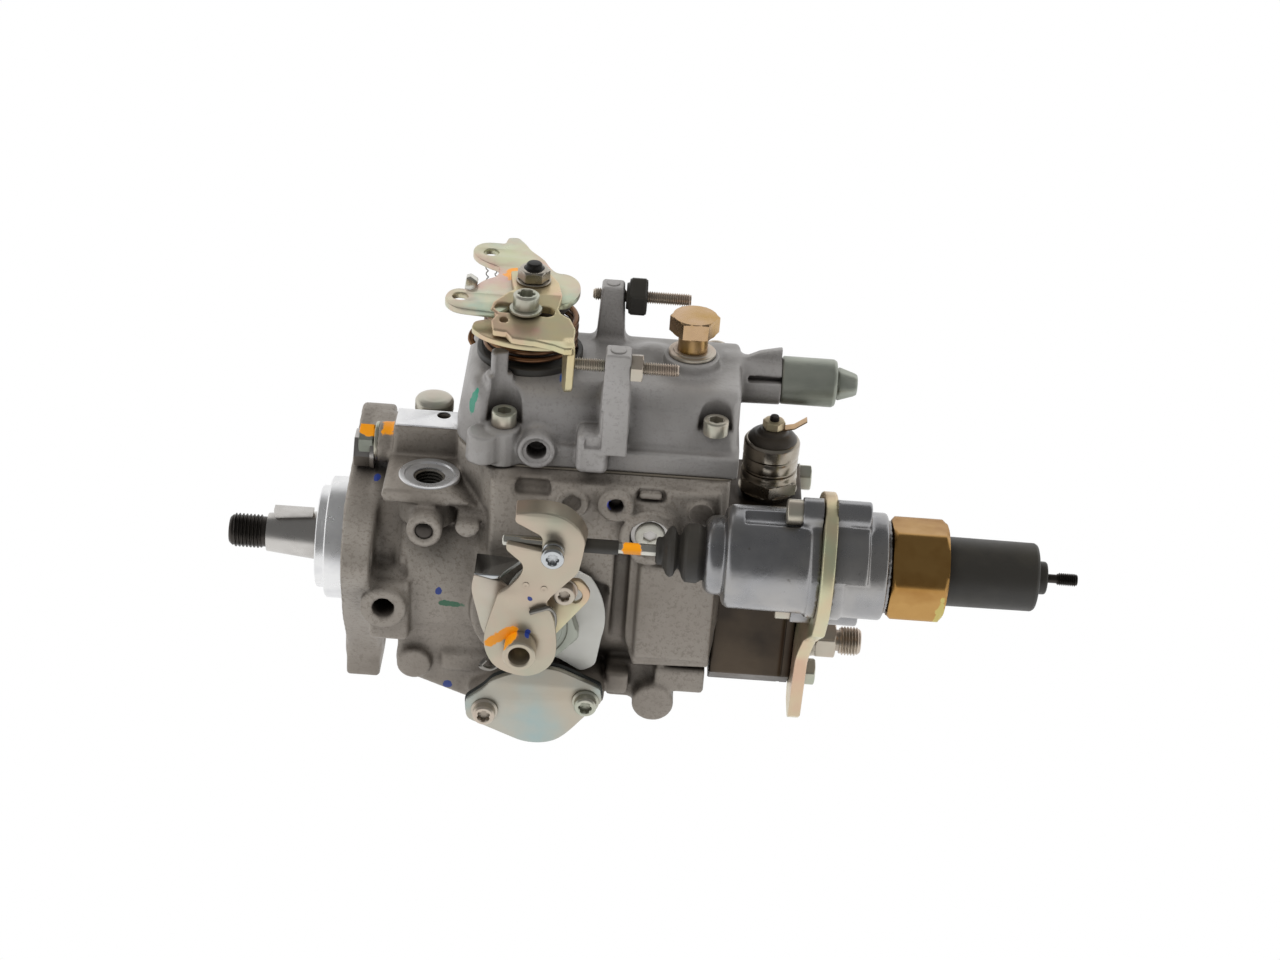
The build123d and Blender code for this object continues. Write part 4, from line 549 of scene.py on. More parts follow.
orange, blue, green = "#f09a10", "#2c3f86", "#3f8f78"
# die cast aluminium, tumbled and then soaked in test oil: warm grey, grainy, with painted shade darkening its
# corners
cast_aluminium = surface("die_cast_aluminium", "#989087", ["#827a70", "#a59e95"], 26, 0.42, 0.50, 0.08,
    (1, 0.22), ("#2c251e", 11, 0.9), ("#8a8279", 1, 0.17),
    [(orange, (19, -1, 53.2), (4.6, 5, 2.4), origin), (blue, (14.6, -8.1, 34.4), (1.4, 2, 1.6)),
    (blue, (45.2, -22.6, 46.4), (1.6, 2, 1.6)), (blue, (43.4, -40, 2.8), (1.5, 4, 2)),
    (blue, (48, -35, -45), (2, 5, 2)), ("#3c6a50", (48.4, -42, -2.8), (6.2, 5, 1.7), (0, 9, 0)),
    ("#4c55b8", (109.6, -43, 51.2), (2.6, 4, 2.6)), (blue, (40, 0, 60), (3, 3, 1.5))])
# the lid's own casting is cooler, smoother and cleaner
cast_lid = surface("die_cast_aluminium_lid", "#a4a19f", ["#928f8b", "#afacaa"], 22, 0.42, 0.44, 0.07,
    (0.9, 0.16), ("#38322d", 9, 0.88), ("#989592", 0.9, 0.16),
    [(green, (53.5, -25, 82), (1.3, 4, 7.5), (0, 12, 0)), (green, (94.5, 30, 91), (3.2, 1.4, 1)),
    (green, (146.5, 30, 91), (3, 1.3, 1)), (blue, (142, -36, 85.5), (0.9, 4, 3.2)),
    (blue, (150.5, -37, 84.5), (0.8, 4, 2.8)), ("#3a5fa8", (86.5, -19, 92), (1.2, 3, 3))])
# milled faces of the same casting: pale, with fine cutter marks
milled_aluminium = surface("milled_aluminium", "#eeeeee", "#dddddf", 9, 0.85, 0.30, 0.05, (0.6, 0.012))
# ground steel of the drive shaft
ground_steel = surface("ground_steel", "#cbc8c4", "#b0aca8", 12, 1, 0.30, 0.06, (0.5, 0.01),
    ("#4a4541", 3, 0.5))
# blued and blackened steel of studs, threads and the lever's shaft
dark_steel = surface("blued_steel", "#4d4844", "#3b3733", 10, 0.9, 0.38, 0.06, (0.5, 0.015),
    ("#1d1b19", 3, 0.6))
black_steel = surface("black_oxide_steel", "#2a2826", "#1f1d1b", 9, 0.7, 0.40, 0.05, (0.5, 0.01))
# polished steel of the clamp pin and the shelf of the stop plate
bright_steel = surface("polished_steel", "#c3c6c8", None, 9, 1, 0.20, 0, None, ("#5a5652", 2.5, 0.5))
# steel from a bright zinc bath, passivated: cream with a breath of green and rose
zinc_plate = surface("zinc_plated_steel", "#c3bfb2", ["#b5bbaa", "#c9b8a9"], 14, 0.85, 0.33, 0.05,
    (0.8, 0.012), ("#6a6357", 3, 0.6))
# the pressed timing covers, cooler
zinc_plate_cover = surface("zinc_plated_cover", "#b9b8ae", ["#a5b6b4", "#bfb5a4"], 16, 0.85, 0.36, 0.05,
    (0.8, 0.015), ("#6a6357", 3, 0.4))
# the cold start arm, with its dabs of paint
zinc_arm = surface("zinc_plated_arm", "#bfb6a3", ["#b0b3a0", "#c6b3a2"], 16, 0.85, 0.34, 0.05, (0.8, 0.012),
    ("#6a6357", 3, 0.5), None, [(orange, (70.6, -67, 1.2), (8.2, 8, 2.5), (0, -36, 0)),
    (blue, (80.5, -67, 19), (1.2, 3, 1.3)), (blue, (80.4, -67, 3.9), (1.1, 3, 1.3))])
# the throttle's rear lever, green and rose
zinc_levers = surface("zinc_plated_levers", "#cfc6b0", ["#b3c6b4", "#d6aea3", "#c9cba9"], 9, 0.85, 0.32, 0.05,
    (0.8, 0.012), ("#6a6049", 3, 0.5), None, [(orange, (66, 11, 119.5), (5, 6, 2.5), (0, 0, 30)),
    (orange, (66.3, -10, 122), (5, 4, 3), (0, 0, 50))])
# the front plate and the shelf, passivated longer: gold
zinc_gold = surface("zinc_plated_gold_levers", "#d3c3a0", ["#d9b09f", "#c6c8a6", "#d8c79c"], 9, 0.85, 0.32,
    0.05, (0.8, 0.012), ("#6a5a49", 3, 0.6))
# threads cut in the casting: oily, in a tone of their own, with painted shade deep in the port
cut_thread = surface("oily_cut_thread", "#9a958d", "#7c766e", 5, 0.85, 0.26, 0.05, None, ("#2a251f", 5, 0.55))
# the drawn rod, brighter
zinc_rod = surface("zinc_plated_rod", "#cfcdc4", None, 10, 0.95, 0.22, 0.03, None, ("#5a564f", 3, 0.5), None,
    [(orange, (118, -61, 41.5), (4, 5, 5))])
# yellow passivated zinc on the bracket
zinc_yellow = surface("zinc_yellow_passivated", "#d6cba4", ["#c9cfae", "#d8b79e"], 18, 0.8, 0.36, 0.05,
    (0.8, 0.015), ("#6d6040", 4, 0.6))
# zinc bath left dull grey, on the setting sleeve and the hexagon bush
grey_zinc = surface("galvanised_sleeve", "#9ea298", ["#8f9488", "#adb0a5"], 8, 0.8, 0.42, 0.06, (0.9, 0.03),
    ("#5c5a4f", 3, 0.6))
# steel head, oiled brown black, with paler wear on its ribs
oiled_head = surface("oiled_steel_head", "#3d352d", ["#2b2520", "#54493d"], 14, 0.75, 0.42, 0.08, (0.7, 0.03),
    ("#171310", 6, 0.7), ("#6b5e4d", 3, -0.02))
# the side bolt, with a dab of paint on its head
zinc_bolt = surface("zinc_plated_side_bolt", "#9ea298", "#8f9488", 8, 0.8, 0.40, 0.06, (0.9, 0.02),
    ("#5c5a4f", 3, 0.6), None, [(orange, (9.5, -2.5, 53.2), (6, 4.5, 2.2), (0, 20, 0))])
# the actuator's drums: cast bright, their skin almost a mirror
actuator_cast = surface("bright_cast_aluminium", "#a2a2a4", ["#8f9093", "#adaba9"], 12, 0.97, 0.30, 0.07,
    (1.4, 0.06), ("#3b3734", 6, 0.7), ("#85827f", 1.6, 0.06))
# brass, turned, and the hexagon with its sealant
brass = surface("turned_brass", "#c8a884", "#ba9556", 12, 1, 0.27, 0.05, (0.6, 0.004), ("#5d4319", 3, 0.6))
brass_plug = surface("turned_brass_with_sealant", "#bd9458", "#a87c42", 12, 1, 0.40, 0.06, (0.7, 0.015),
    ("#5d4319", 3, 0.6), None, [("#d8c56a", (236.5, -74, 30), (2.2, 9, 14)),
    ("#b9ab6a", (237, -60, 24), (1.8, 16, 6))])
# glass filled nylon of the cap: black and a little open in its grain
black_nylon = surface("black_nylon", "#2b2925", "#34312b", 14, 0, 0.48, 0.06, (0.9, 0.03))
# brown black resin of the solenoid's cap
moulding = surface("brown_black_moulding", "#38322b", "#2a251f", 9, 0, 0.38, 0.05, (0.8, 0.02))
# rubbers of the bellows and the seals
boot_rubber = surface("nitrile_rubber", "#2c2a27", "#37342f", 12, 0, 0.55, 0.06, (0.8, 0.02))
seal_rubber = surface("seal_rubber", "#1f2322", None, 12, 0, 0.5)
# wires of the springs
spring_steel = surface("oil_tempered_spring_wire", "#7c5a41", ["#4d3a2d", "#8f6d4f"], 9, 0.9, 0.33, 0.05,
    None, ("#201712", 2.5, 0.7))
spring_bright = surface("spring_wire", "#8d8a84", None, 9, 0.95, 0.3)
# gasket, disc and port plug
fibre = surface("fibre_gasket", "#6e675c", None, 9, 0, 0.8)
white_acetal = surface("white_acetal_disc", "#e9e8e2", "#dddcd4", 16, 0, 0.42)
cream_plastic = surface("cream_port_plug", "#d8d6cb", "#b9b6a8", 6, 0, 0.45, 0.05)
# sintered bronze of the bearing
bronze = surface("sintered_bronze", "#9c7a48", "#8a6a3d", 6, 0.9, 0.4, 0.05, (0.5, 0.02))
# nickel plate of the solenoid and the lock nut
solenoid_steel = surface("nickel_plated_steel", "#b5aea3", "#a09789", 10, 1, 0.24, 0.05, (0.6, 0.01),
    ("#4c443a", 4, 0.6))


# Light of the picture: a wide soft sky of lamps, on white
def soft_lamp(name, place, target, size, watts):
    """Square area lamp whose -Z axis points from its place to the target."""
    lamp = bpy.data.lights.new(name, "AREA")
    lamp.shape = "RECTANGLE"
    lamp.size, lamp.size_y = size
    lamp.energy = watts
    made = bpy.data.objects.new(name, lamp)
    along = np.array(target, float) - np.array(place, float)
    away = -along / np.linalg.norm(along)
    across = np.cross((0, 0, 1), away)
    across /= np.linalg.norm(across)
    made.matrix_world = placed(across, np.cross(away, across), away, place)
    # mirrors see the room alone: a lamp would stand in them as a square
    made.visible_glossy = False
    bpy.context.collection.objects.link(made)


def light_scene():
    """White room for the camera. A mirror sees white below a rim that leans back, from 10 degrees under the
    level in front to 50 over it behind, and a dim ceiling above it, and the rest is lit by a weaker copy of
    the same room."""
    world = bpy.data.worlds.new("white_room")
    bpy.context.scene.world = world
    world.use_nodes = True
    tree = world.node_tree
    tree.nodes.clear()
    path = add_node(tree, "LightPath").outputs
    facing = add_node(tree, "SeparateXYZ", {0: add_node(tree, "TexCoord").outputs["Generated"]}).outputs
    lean, drop, blur, ceiling = -0.58, -0.36, 0.2, 0.17
    weaker_share, weaker_floor = 0.78, 0.16
    rim = add_node(tree, "Math", {0: facing["Y"], 1: lean, 2: drop}, operation="MULTIPLY_ADD").outputs[0]
    height = add_node(tree, "Math", {0: facing["Z"], 1: rim}, operation="ADD").outputs[0]
    room = add_node(tree, "MapRange", {"Value": height, "From Min": -blur, "From Max": blur, "To Min": 1,
        "To Max": ceiling}, interpolation_type="SMOOTHSTEP").outputs[0]
    weaker = add_node(tree, "Math", {0: room, 1: weaker_share, 2: weaker_floor},
        operation="MULTIPLY_ADD").outputs[0]
    mirror = add_node(tree, "Math", {0: path["Is Glossy Ray"], 1: path["Is Transmission Ray"]},
        operation="MAXIMUM")
    light = add_node(tree, "Mix", {0: mirror.outputs[0], 2: weaker, 3: room}, data_type="FLOAT").outputs[0]
    strength = add_node(tree, "Mix", {0: path["Is Camera Ray"], 2: light, 3: 1.0},
        data_type="FLOAT").outputs[0]
    sky = add_node(tree, "Background", {"Color": (1, 1, 1, 1), "Strength": strength})
    add_node(tree, "OutputWorld", {"Surface": sky.outputs[0]})
    soft_lamp("lamp_over_left", (-0.55, -0.55, 1.25), (0.1, 0, 0.02), (0.9, 0.7), 12)
    soft_lamp("lamp_over_right", (0.95, -0.35, 1), (0.12, 0, 0.02), (0.7, 0.5), 6)


light_scene()
bpy.context.scene.view_settings.view_transform = "Standard"


# Housing, die cast and then machined on its faces
def lobe(angle, radius, bolt_circle=94):
    """Centre and radius of one mounting lobe, on the bolt circle."""
    return bolt_circle / 2 * cos(radians(angle)), bolt_circle / 2 * sin(radians(angle)), radius


lobes = [lobe(39, 12.5), lobe(159, 8.5), lobe(279, 12.5)]
# Axis of the timing device, and its cover's two screws on a line that tilts by 10.5 degrees
timing_x, timing_z, timing_tilt = 84.3, -40.5, radians(10.5)
timing_spots = [(timing_x + s * cos(timing_tilt), timing_z + s * sin(timing_tilt)) for s in (-20.5, 20.5)]


def cut_corner(x, y):
    """Distance past the plane that cuts the near front corner of the chest and of the lid."""
    return 0.82 * (46.6 - x) + 0.57 * (-16.6 - y)


def housing_distance(x, y, z):
    """Flange, belly, chest, ledge, timing tube and bosses, run together with fillets, less the drillings."""
    flat = np.sqrt(y * y + z * z) - 33.5
    for a, b in ((0, 1), (1, 2), (2, 0)):
        flat = np.minimum(flat, link_distance(y, z, lobes[a], lobes[b]))
    flange = slab(flat, x, 3.2, 17, 1.6)
    # its face falls back a little over the near lobe
    flange = np.maximum(flange, 3.2 + 0.08 * np.maximum(0, -22 - y) - x)
    foot = block(x, y, z, (2.6, -3.5, -66), (16.6, 18.5, -44), 1.6)
    flange = joined(flange, foot, 3)
    neck = round_bar(y, z, x, 35, 14, 40, 1)
    belly = round_bar(y, z, x, 40, 28, 153, 1.5)
    body = joined(belly, neck, 7)
    chest = slab(np.maximum(np.abs(y) - 36, np.abs(x - 100) - 53), z, -4, 60, 1)
    chest = taken(chest, -cut_corner(x, y), 2)
    cheek_line = [(62, 18), (62, 57), (151, 57), (152.6, 42), (152.6, -24), (122, -25), (110, 12)]
    cheeks = slab(outline_distance(x, z, cheek_line), y, -42, 42, 2)
    for form, fillet in (
            (chest, 5),
            (cheeks, 4),
            # columns of the near cover screws
            (round_bar(x - 65.6, y + 33, z, 6.2, -10, 60, 0.8), 3.5),
            (round_bar(x - 147, y + 31.5, z, 7.5, 20, 60, 0.8), 3),
            # raised square pad beside the cold start device, with a groove before it
            (block(x, y, z, (122, -43.8, -20), (152.2, -30, 24), 1.2), 1.2)):
        body = joined(body, form, fillet)
    body = taken(body, block(x, y, z, (118.6, -48, -18), (121.6, -40.3, 26), 1), 1)
    # inlet block with machined top, its ledge and the screw boss
    block_front = block(x, y, z, (21, -10, 20), (48.5, 4.5, 59.5), 0.5)
    ledge_line = [(20.5, 41), (19.4, 44), (20.5, 46.8), (46, 46.8), (60, 38.8), (60.5, 35.2), (44, 40.4)]
    ledge = slab(outline_distance(x, z, ledge_line), y, -38, -6, 0.9)
    boss = round_bar(y, z - 46.4, x, 8.3, 14.2, 26, 0.7)
    for form, fillet in (
            (ledge, 1.8),
            (block_front, 0.8),
            (boss, 2),
            (round_bar(x - 37, y + 25, z, 11.8, 29, 47.2, 0.4), 2),
            # shoulder under the pressure valve, and the arm behind the flange
            (block(x, y, z, (10, 12, 12), (54, 34, 42), 3), 3),
            (flange, 3)):
        body = joined(body, form, fillet)
    # timing device: cross tube with its ears, skirt and lower ribs
    ears = [link_distance(x, z, (timing_x, timing_z, 15.3), (ear_x, ear_z, 7.2))
        for ear_x, ear_z in timing_spots]
    tube = np.minimum(*ears)
    body = joined(body, slab(tube, y, -47.4, 47.4, 0.5), 4)
    skirt_line = [(27, -18), (27, -36), (33, -43), (62, -54), (72, -54), (72, -18)]
    skirt = slab(outline_distance(x, z, skirt_line), y, -35, 35, 3)
    for form, fillet in (
            (skirt, 4),
            (round_bar(x - 34, z + 34, y, 7, -38.5, 38.5, 1.2), 2.5),
            (block(x, y, z, (45, -37, -37), (66, 37, -28), 2), 3),
            # lower boss towards the head, with the steps beside it
            (round_bar(x - 131.5, z + 43.5, y, 8.4, -41, 36, 1), 3),
            (block(x, y, z, (131.5, -40.5, -37.5), (151.5, 36, -26), 1.5), 2.5),
            (block(x, y, z, (112, -34, -46), (132, 34, -28), 2), 3),
            (block(x, y, z, (111.5, -41.6, -39.5), (121, -30, -29.5), 1.6), 1.5),
            # round seat of the cold start shaft
            (round_bar(x - 81, z + 2.6, y, 25, -43.8, -20, 1), 3)):
        body = joined(body, form, fillet)
    # side bosses
    side_bosses = [(22, -2.5, 9.2, 47.4, 1.4), (37.1, 33, 7, 45.4, 1.6), (53.8, 36, 4.8, 44.6, 2),
        (93.9, 49.8, 6.4, 44.6, 2.2), (110.9, 50.6, 7, 45.6, 2.2), (125, 37, 12, 45.6, 2.2),
        (143.9, 48.6, 5.1, 43.4, 0.8)]
    for bx, bz, r, out, fillet in side_bosses:
        body = joined(body, round_bar(x - bx, z - bz, y, r, -out, -28, 0.7), fillet)
    body = joined(body, block(x, y, z, (16, -43.6, -20), (32, -24, 8), 2.2), 2)
    # deep cored recesses: behind the flange, over the embossed boss, and along the chest
    recesses = [((16.8, -60, 9), (24.5, -31, 29), 2), ((16.8, -60, 6.4), (30.5, -36.5, 13), 2),
        ((45, -60, 36.5), (61, -36, 41.5), 2.2), ((71.5, -60, 50.5), (85.5, -37, 56.5), 2),
        ((118.5, -60, 51.5), (130, -39, 56.5), 1.8), ((112, -60, -22), (118, -36, 30), 2),
        ((16.8, -60, -34), (24, -36, -21), 1.5)]
    for low, high, rounding in recesses:
        body = taken(body, block(x, y, z, low, high, rounding), 1.6)
    body = joined(body, block(x, y, z, (119.5, -42.2, 52.8), (128.5, -38.5, 55), 0.6), 0.6)
    # machined cuts: holes, spotface, bores and faces
    drilled = [(x - 22, z + 2.5, y, 4.4, -60, -30), (x - 37.1, z - 33, y, 3.6, -60, -41.5),
        (x - 125, z - 37, y, 8, -60, -41.4), (x - 93.9, z - 49.8, y, 3.6, -60, -42.4),
        (x - 110.9, z - 50.6, y, 3.1, -60, -38.6), (x - 77.7, z + 2.6, y, 9.2, -60, -24),
        (x - 37, y + 25, z, 9.9, 46.4, 70), (x - 37, y + 25, z, 7, 28, 70), (x - 40, y - 0.5, z, 2.6, 50, 70),
        (x - timing_x, z - timing_z, y, 9.6, -60, 60), (y, z, x, 16.2, -20, 60), (y, z, x, 33, 60, 170)]
    for across, other, along, radius, start, end in drilled:
        body = np.maximum(body, -round_bar(across, other, along, radius, start, end, 0.2))
    for a, b, _ in lobes:
        body = np.maximum(body, -round_bar(y - a, z - b, x, 4.25, -5, 40, 0.1))
        body = taken(body, round_bar(y - a, z - b, x, 8.2, 17, 30, 0.8), 0.8)
    body = np.maximum(body, -round_bar(y, z, x, 16, -20, 30, 0.1))
    return np.maximum(body, z - 60)


# Places of the lid's screws, and the height of each head's seat
cover_spots = [(65.6, -31.5, 76), (147, -31.5, 78.5), (65.6, 31.5, 76), (147, 31.5, 78.5)]


def cover_distance(x, y, z):
    """Lid with leaning walls, lever hub, stop posts, pillars and bosses, less the screw pockets and the
    hollow."""
    band = slab(np.maximum(np.abs(y) - 36, np.abs(x - 101.8) - 55.2), z, 60.6, 70, 1.2)
    crown = slab(np.maximum(np.abs(y) - 35, np.abs(x - 101.9) - 54.5), z, 60.6, 91, 2)
    # the long walls lean back by 20 degrees, and the end wall's top by 25
    for out in (-y, y):
        crown = taken(crown, -(0.94 * (out - 34) + 0.34 * (z - 71)), 9)
    cover = joined(band, crown, 2)
    cover = taken(cover, -cut_corner(x, y), 2)
    cover = taken(cover, -(0.9 * (46 - x) + 0.42 * (z - 80)), 4)
    # lever hub, overflow boss, dome and the step of the deck between the posts
    for form, fillet in (
            (round_bar(x - 73, y, z, 18.8, 80, 92.6, 1.5), 4),
            (round_bar(x - 73, y, z, 10, 90, 108, 0.6), 1.5),
            (round_bar(x - 136.5, y + 1, z, 10.8, 82, 96.4, 0.6, 0.05), 2.5)):
        cover = joined(cover, form, fillet)
    dome = np.sqrt((x - 121.5) ** 2 + (y - 7) ** 2 + (1.3 * (z - 84.5)) ** 2) - 12.5
    cover = joined(cover, dome, 2.5)
    # posts of the stop screws
    front_line = [(102.4, 71), (103, 113.4), (103.8, 114.2), (111.8, 114.2), (112.8, 113.4), (113.6, 71)]
    cover = joined(cover, slab(outline_distance(x, z, front_line), y, -42.5, -33.2, 0.5), 1.6)
    front_foot = [(103.6, 80), (104, 96), (111, 96), (111.6, 80)]
    cover = joined(cover, slab(outline_distance(x, z, front_foot), y, -38, -20, 0.8), 4)
    rear_line = [(98, 84), (99.4, 113.2), (100.2, 114.2), (107.6, 114.2), (108.4, 113.2), (110.2, 84)]
    for form, fillet in (
            (slab(outline_distance(x, z, rear_line), y, 15.8, 24.2, 0.8), 3),
            # stop pin, blank pillar, screw bosses, bleed boss and lug
            (round_bar(x - 62.5, y + 23, z, 5.4, 80, 93.4, 1), 2),
            (round_bar(x - 62.5, y + 23, z, 3.3, 86, 102.8, 0.4), 0.8),
            (round_bar(x - 58.2, y + 36, z, 6.3, 62.8, 74.8, 0.8, 0.03), 0.8),
            (round_bar(x - 65.6, y + 32.6, z, 6.4, 60.6, 75.6, 0.5), 1.6),
            (round_bar(x - 78.9, z - 68.8, y, 6.4, -39.3, -12, 0.5, 0.03), 3),
            (block(x, y, z, (94.2, -42.6, 62.3), (106.6, -30, 79), 2.6), 1.2),
            # full load boss with its fin
            (round_bar(y - 10, z - 81.4, x, 9.4, 150, 173, 0.5, 0.02), 2.5)):
        cover = joined(cover, form, fillet)
    fin_line = [(150, 82), (172.5, 82), (172.5, 96), (164, 94), (155, 89.5)]
    fin = slab(outline_distance(x, z, fin_line), y, 8.4, 11.6, 0.5)
    cover = joined(cover, fin, 1)
    # screw pockets, open above
    for px, py, seat in cover_spots:
        away = np.sign(py)
        flat = link_distance(x, y, (px, py - 1.5 * away, 6.5), (px, py + 9 * away, 6.9))
        cover = taken(cover, slab(flat, z, seat, 120, 0.3), 0.9)
    cover = joined(cover, round_bar(x - 65.6, y + 31.6, z, 6.2, 60.6, 75.9, 0.4), 0.8)
    notch = link_distance(x, y, (98.5, -42.6, 1.3), (102.4, -42.6, 1.3))
    cover = taken(cover, slab(notch, z, 73.6, 90, 0.3), 0.4)
    # holes
    drilled = [(x - 94.5, y - 29, z, 2.6, 83, 110), (x - 146.5, y - 26.5, z, 2.6, 83, 110),
        (x - 78.9, z - 68.8, y, 3.9, -60, -30), (x - 78.9, z - 68.8, y, 5.4, -60, -38.2),
        (y + 38, z - 107.5, x, 2.6, 90, 130), (y - 20, z - 109.2, x, 2.6, 90, 130),
        (x - 73, y, z, 6.1, 50, 130)]
    for across, other, along, radius, start, end in drilled:
        cover = np.maximum(cover, -round_bar(across, other, along, radius, start, end, 0.1))
    # slot in the near flank of the full load boss, and the hollow under the crown
    slot = link_distance(x, z, (160.5, 85.4, 1.2), (176, 85.4, 0.9))
    cover = np.maximum(cover, -slab(slot, y, -10, 5, 0.2))
    return np.maximum(cover, -block(x, y, z, (60, -21.5, 40), (148, 21.5, 86), 3))


add_cast("pump_housing", housing_distance, (-3, -54, -68), (156, 54, 62), 1.2, "pump", cast_aluminium,
    "cast_aluminium", replaces=("housing",))
add_cast("lid_of_governor", cover_distance, (44, -46, 59), (176, 40, 117), 0.72, "pump", cast_lid,
    "cast_aluminium", replaces=("governor_cover",))


# Drive end
def six(radius, flats, low, high, crown=0, washer=0):
    """Profile of a hexagon head, its corners turned off at the top, with a washer face under it."""
    rows = [(low, 0), (low, flats * 0.97), (low + 0.25, flats * 0.97), (low + 0.3, radius, flats),
        (high - 0.28 * (radius - flats) - 0.35, radius, flats), (high, flats * 0.94),
        (high + crown, flats * 0.5), (high + crown, 0)]
    if washer:
        rows[1:2] = [(low, washer), (low + 0.5, washer), (low + 0.5, flats * 0.97)]
    return rows


shaft_profile = [(-30.6, 0), (-30.6, 7.85), (-9.2, 10), (-8.9, 10), (28, 10), (60, 10), (60, 0)]
add_turned("drive_shaft_ground", shaft_profile, origin, "+x", 0.25, "shaft", ground_steel, "steel_dark",
    replaces=("drive_shaft",))
thread_core = [(-46.1, 0), (-46.1, 5.2), (-45, 6.2), (-30.4, 6.2), (-30.4, 7.4), (-29.6, 7.9), (-29.6, 0)]
add_group("drive_shaft_thread", [thread(-45.2, -31.8, 6.95, 1.5, origin, "+x"),
    turned(thread_core, origin, "+x", 0.2)], "shaft", dark_steel, "steel_dark", sharp=50)
nose_profile = [(-9, 16.4), (-9, 20.4), (-8.5, 21), (-5, 21), (-5, 24.4), (-4.4, 25), (3.4, 25), (4.4, 25),
    (4.4, 15.8), (-6.5, 15.8), (-6.9, 16.4), (-9, 16.4)]
add_turned("pilot_of_housing", nose_profile, origin, "+x", 0.15, "pump", milled_aluminium, "cast_aluminium",
    sides=160)
seal_profile = [(-6.9, 10.2), (-7.2, 11), (-6.6, 12.6), (-7.4, 14), (-7.4, 15.9), (-6.2, 15.9), (-6.2, 10.2),
    (-6.9, 10.2)]
add_turned("shaft_seal_lip", seal_profile, origin, "+x", 0.2, "pump", seal_rubber, "rubber")

# Bolt behind the top lobe, ball plug, pressure valve, port plug and core plugs
add_turned("side_bolt", six(8, 6.5, 5.2, 11.4), side_bolt_at, "+x", 0.3, "pump", zinc_bolt, "zinc_plate")
add_turned("side_bolt_washer", [(11.4, 0), (11.4, 7.6), (11.8, 8), (12.8, 8), (13.1, 7.6), (13.1, 0)],
    side_bolt_at, "+x", 0.3, "pump", zinc_plate, "zinc_plate")
dome = [(41, 0), (41, 7.9), (49.9, 7.9), (50.1, 7.4), (51.4, 7.4), (51.6, 7.9), (55.6, 7.9), (56.7, 7.1),
    (57.3, 5.2), (57.6, 2.6), (57.7, 0)]
add_turned("pressure_valve_dome", dome, (34.4, 21, 0), "+z", 0.35, "pump", zinc_plate, "zinc_plate",
    replaces=("pressure_valve",))
add_turned("ball_plug", [(41, 0), (41, 3.7), (44.3, 3.7), (44.8, 3.2), (45.3, 2.2), (45.6, 0)], (37.1, 0, 33),
    "-y", 0.2, "pump", dark_steel, "steel_dark")
inlet_top = [loop_corners([(21.6, -9.4), (48.2, -9.4), (48.2, 4), (21.6, 4)], 0.8), ring_line((40, 0.5), 2.7)]
plate("inlet_milled_top", inlet_top, 59.4, 60.05, origin, "+z", "pump", milled_aluminium, "cast_aluminium",
    edge=0.1)
spot_ring = [(45.6, 6.3), (46.8, 6.3), (46.85, 9.6), (47.6, 9.8), (47.65, 11.9), (47.3, 12.1), (45.6, 12.1),
    (45.6, 6.3)]
add_turned("inlet_spotface", spot_ring, inlet_at, "+z", 0.1, "pump", milled_aluminium, "cast_aluminium")
# wall of the port: rows a quarter pitch apart, two on the crest and two in the root
port_rows = [(h, 6.3 - (k % 4 in (1, 2))) for k, h in enumerate(np.arange(34.5, 46.2, 0.375))]
port_wall = [(46.2, 6.9)] + port_rows[::-1] + [(34.5, 6.9), (46.2, 6.9)]
add_turned("inlet_port_thread", port_wall, inlet_at, "+z", 0, "pump", cut_thread, "cast_aluminium")
add_turned("port_plug", [(38, 0), (38, 5.9), (43.2, 5.9), (43.8, 5.5), (44, 4.6), (44, 3.4), (43.8, 3.1, 2.6),
    (42.2, 3.1, 2.6), (42, 0)], (125, 0, 37), "-y", 0.2, "pump", cream_plastic, "black_plastic")
add_turned("chest_disc", [(42, 0), (42, 4.9), (43.2, 4.9), (43.5, 4.5), (43.5, 0)], (143.9, 0, 48.6), "-y",
    0.2, "pump", cast_aluminium, "cast_aluminium")
add_turned("recess_disc", [(36, 0), (36, 2.4), (41, 2.4), (41.3, 2.1), (41.3, 0)], (110.9, 0, 50.6), "-y",
    0.2, "pump", dark_steel, "bronze")
front_plug = [(112.4, 0), (112.4, 2.9), (114.5, 2.9), (114.75, 2.5), (114.75, 0)]
rear_plug = [(112.2, 0), (112.2, 2.6), (114.4, 2.6), (114.7, 2.2), (114.7, 0)]
add_group("post_plugs", [turned(front_plug, (107.7, -37.9, 0), "+z", 0.15),
    turned(rear_plug, (103.8, 20, 0), "+z", 0.15)], "pump", cast_lid, "cast_aluminium")


# Cover screws: cylinder heads with a hexagon socket, and the gasket that shows as a dark line
def socket_head(radius, low, high, socket, depth):
    """Cylinder head with a rounded rim and a six sided socket sunk in its top."""
    return [(low, 0), (low, radius), (high - 0.5, radius), (high, radius - 0.5), (high, socket * 1.22),
        (high - 0.3, socket * 1.16, socket), (high - depth, socket * 1.16, socket), (high - depth - 0.6, 0)]


def star_head(radius, low, high, star, depth):
    """Cylinder head with a six lobed socket."""
    return [(low, 0), (low, radius), (high - 0.7, radius), (high, radius - 0.7), (high, star * 1.3),
        (high - 0.2, star * 1.12, -0.12), (high - depth, star * 1.12, -0.12), (high - depth - 0.4, 0)]


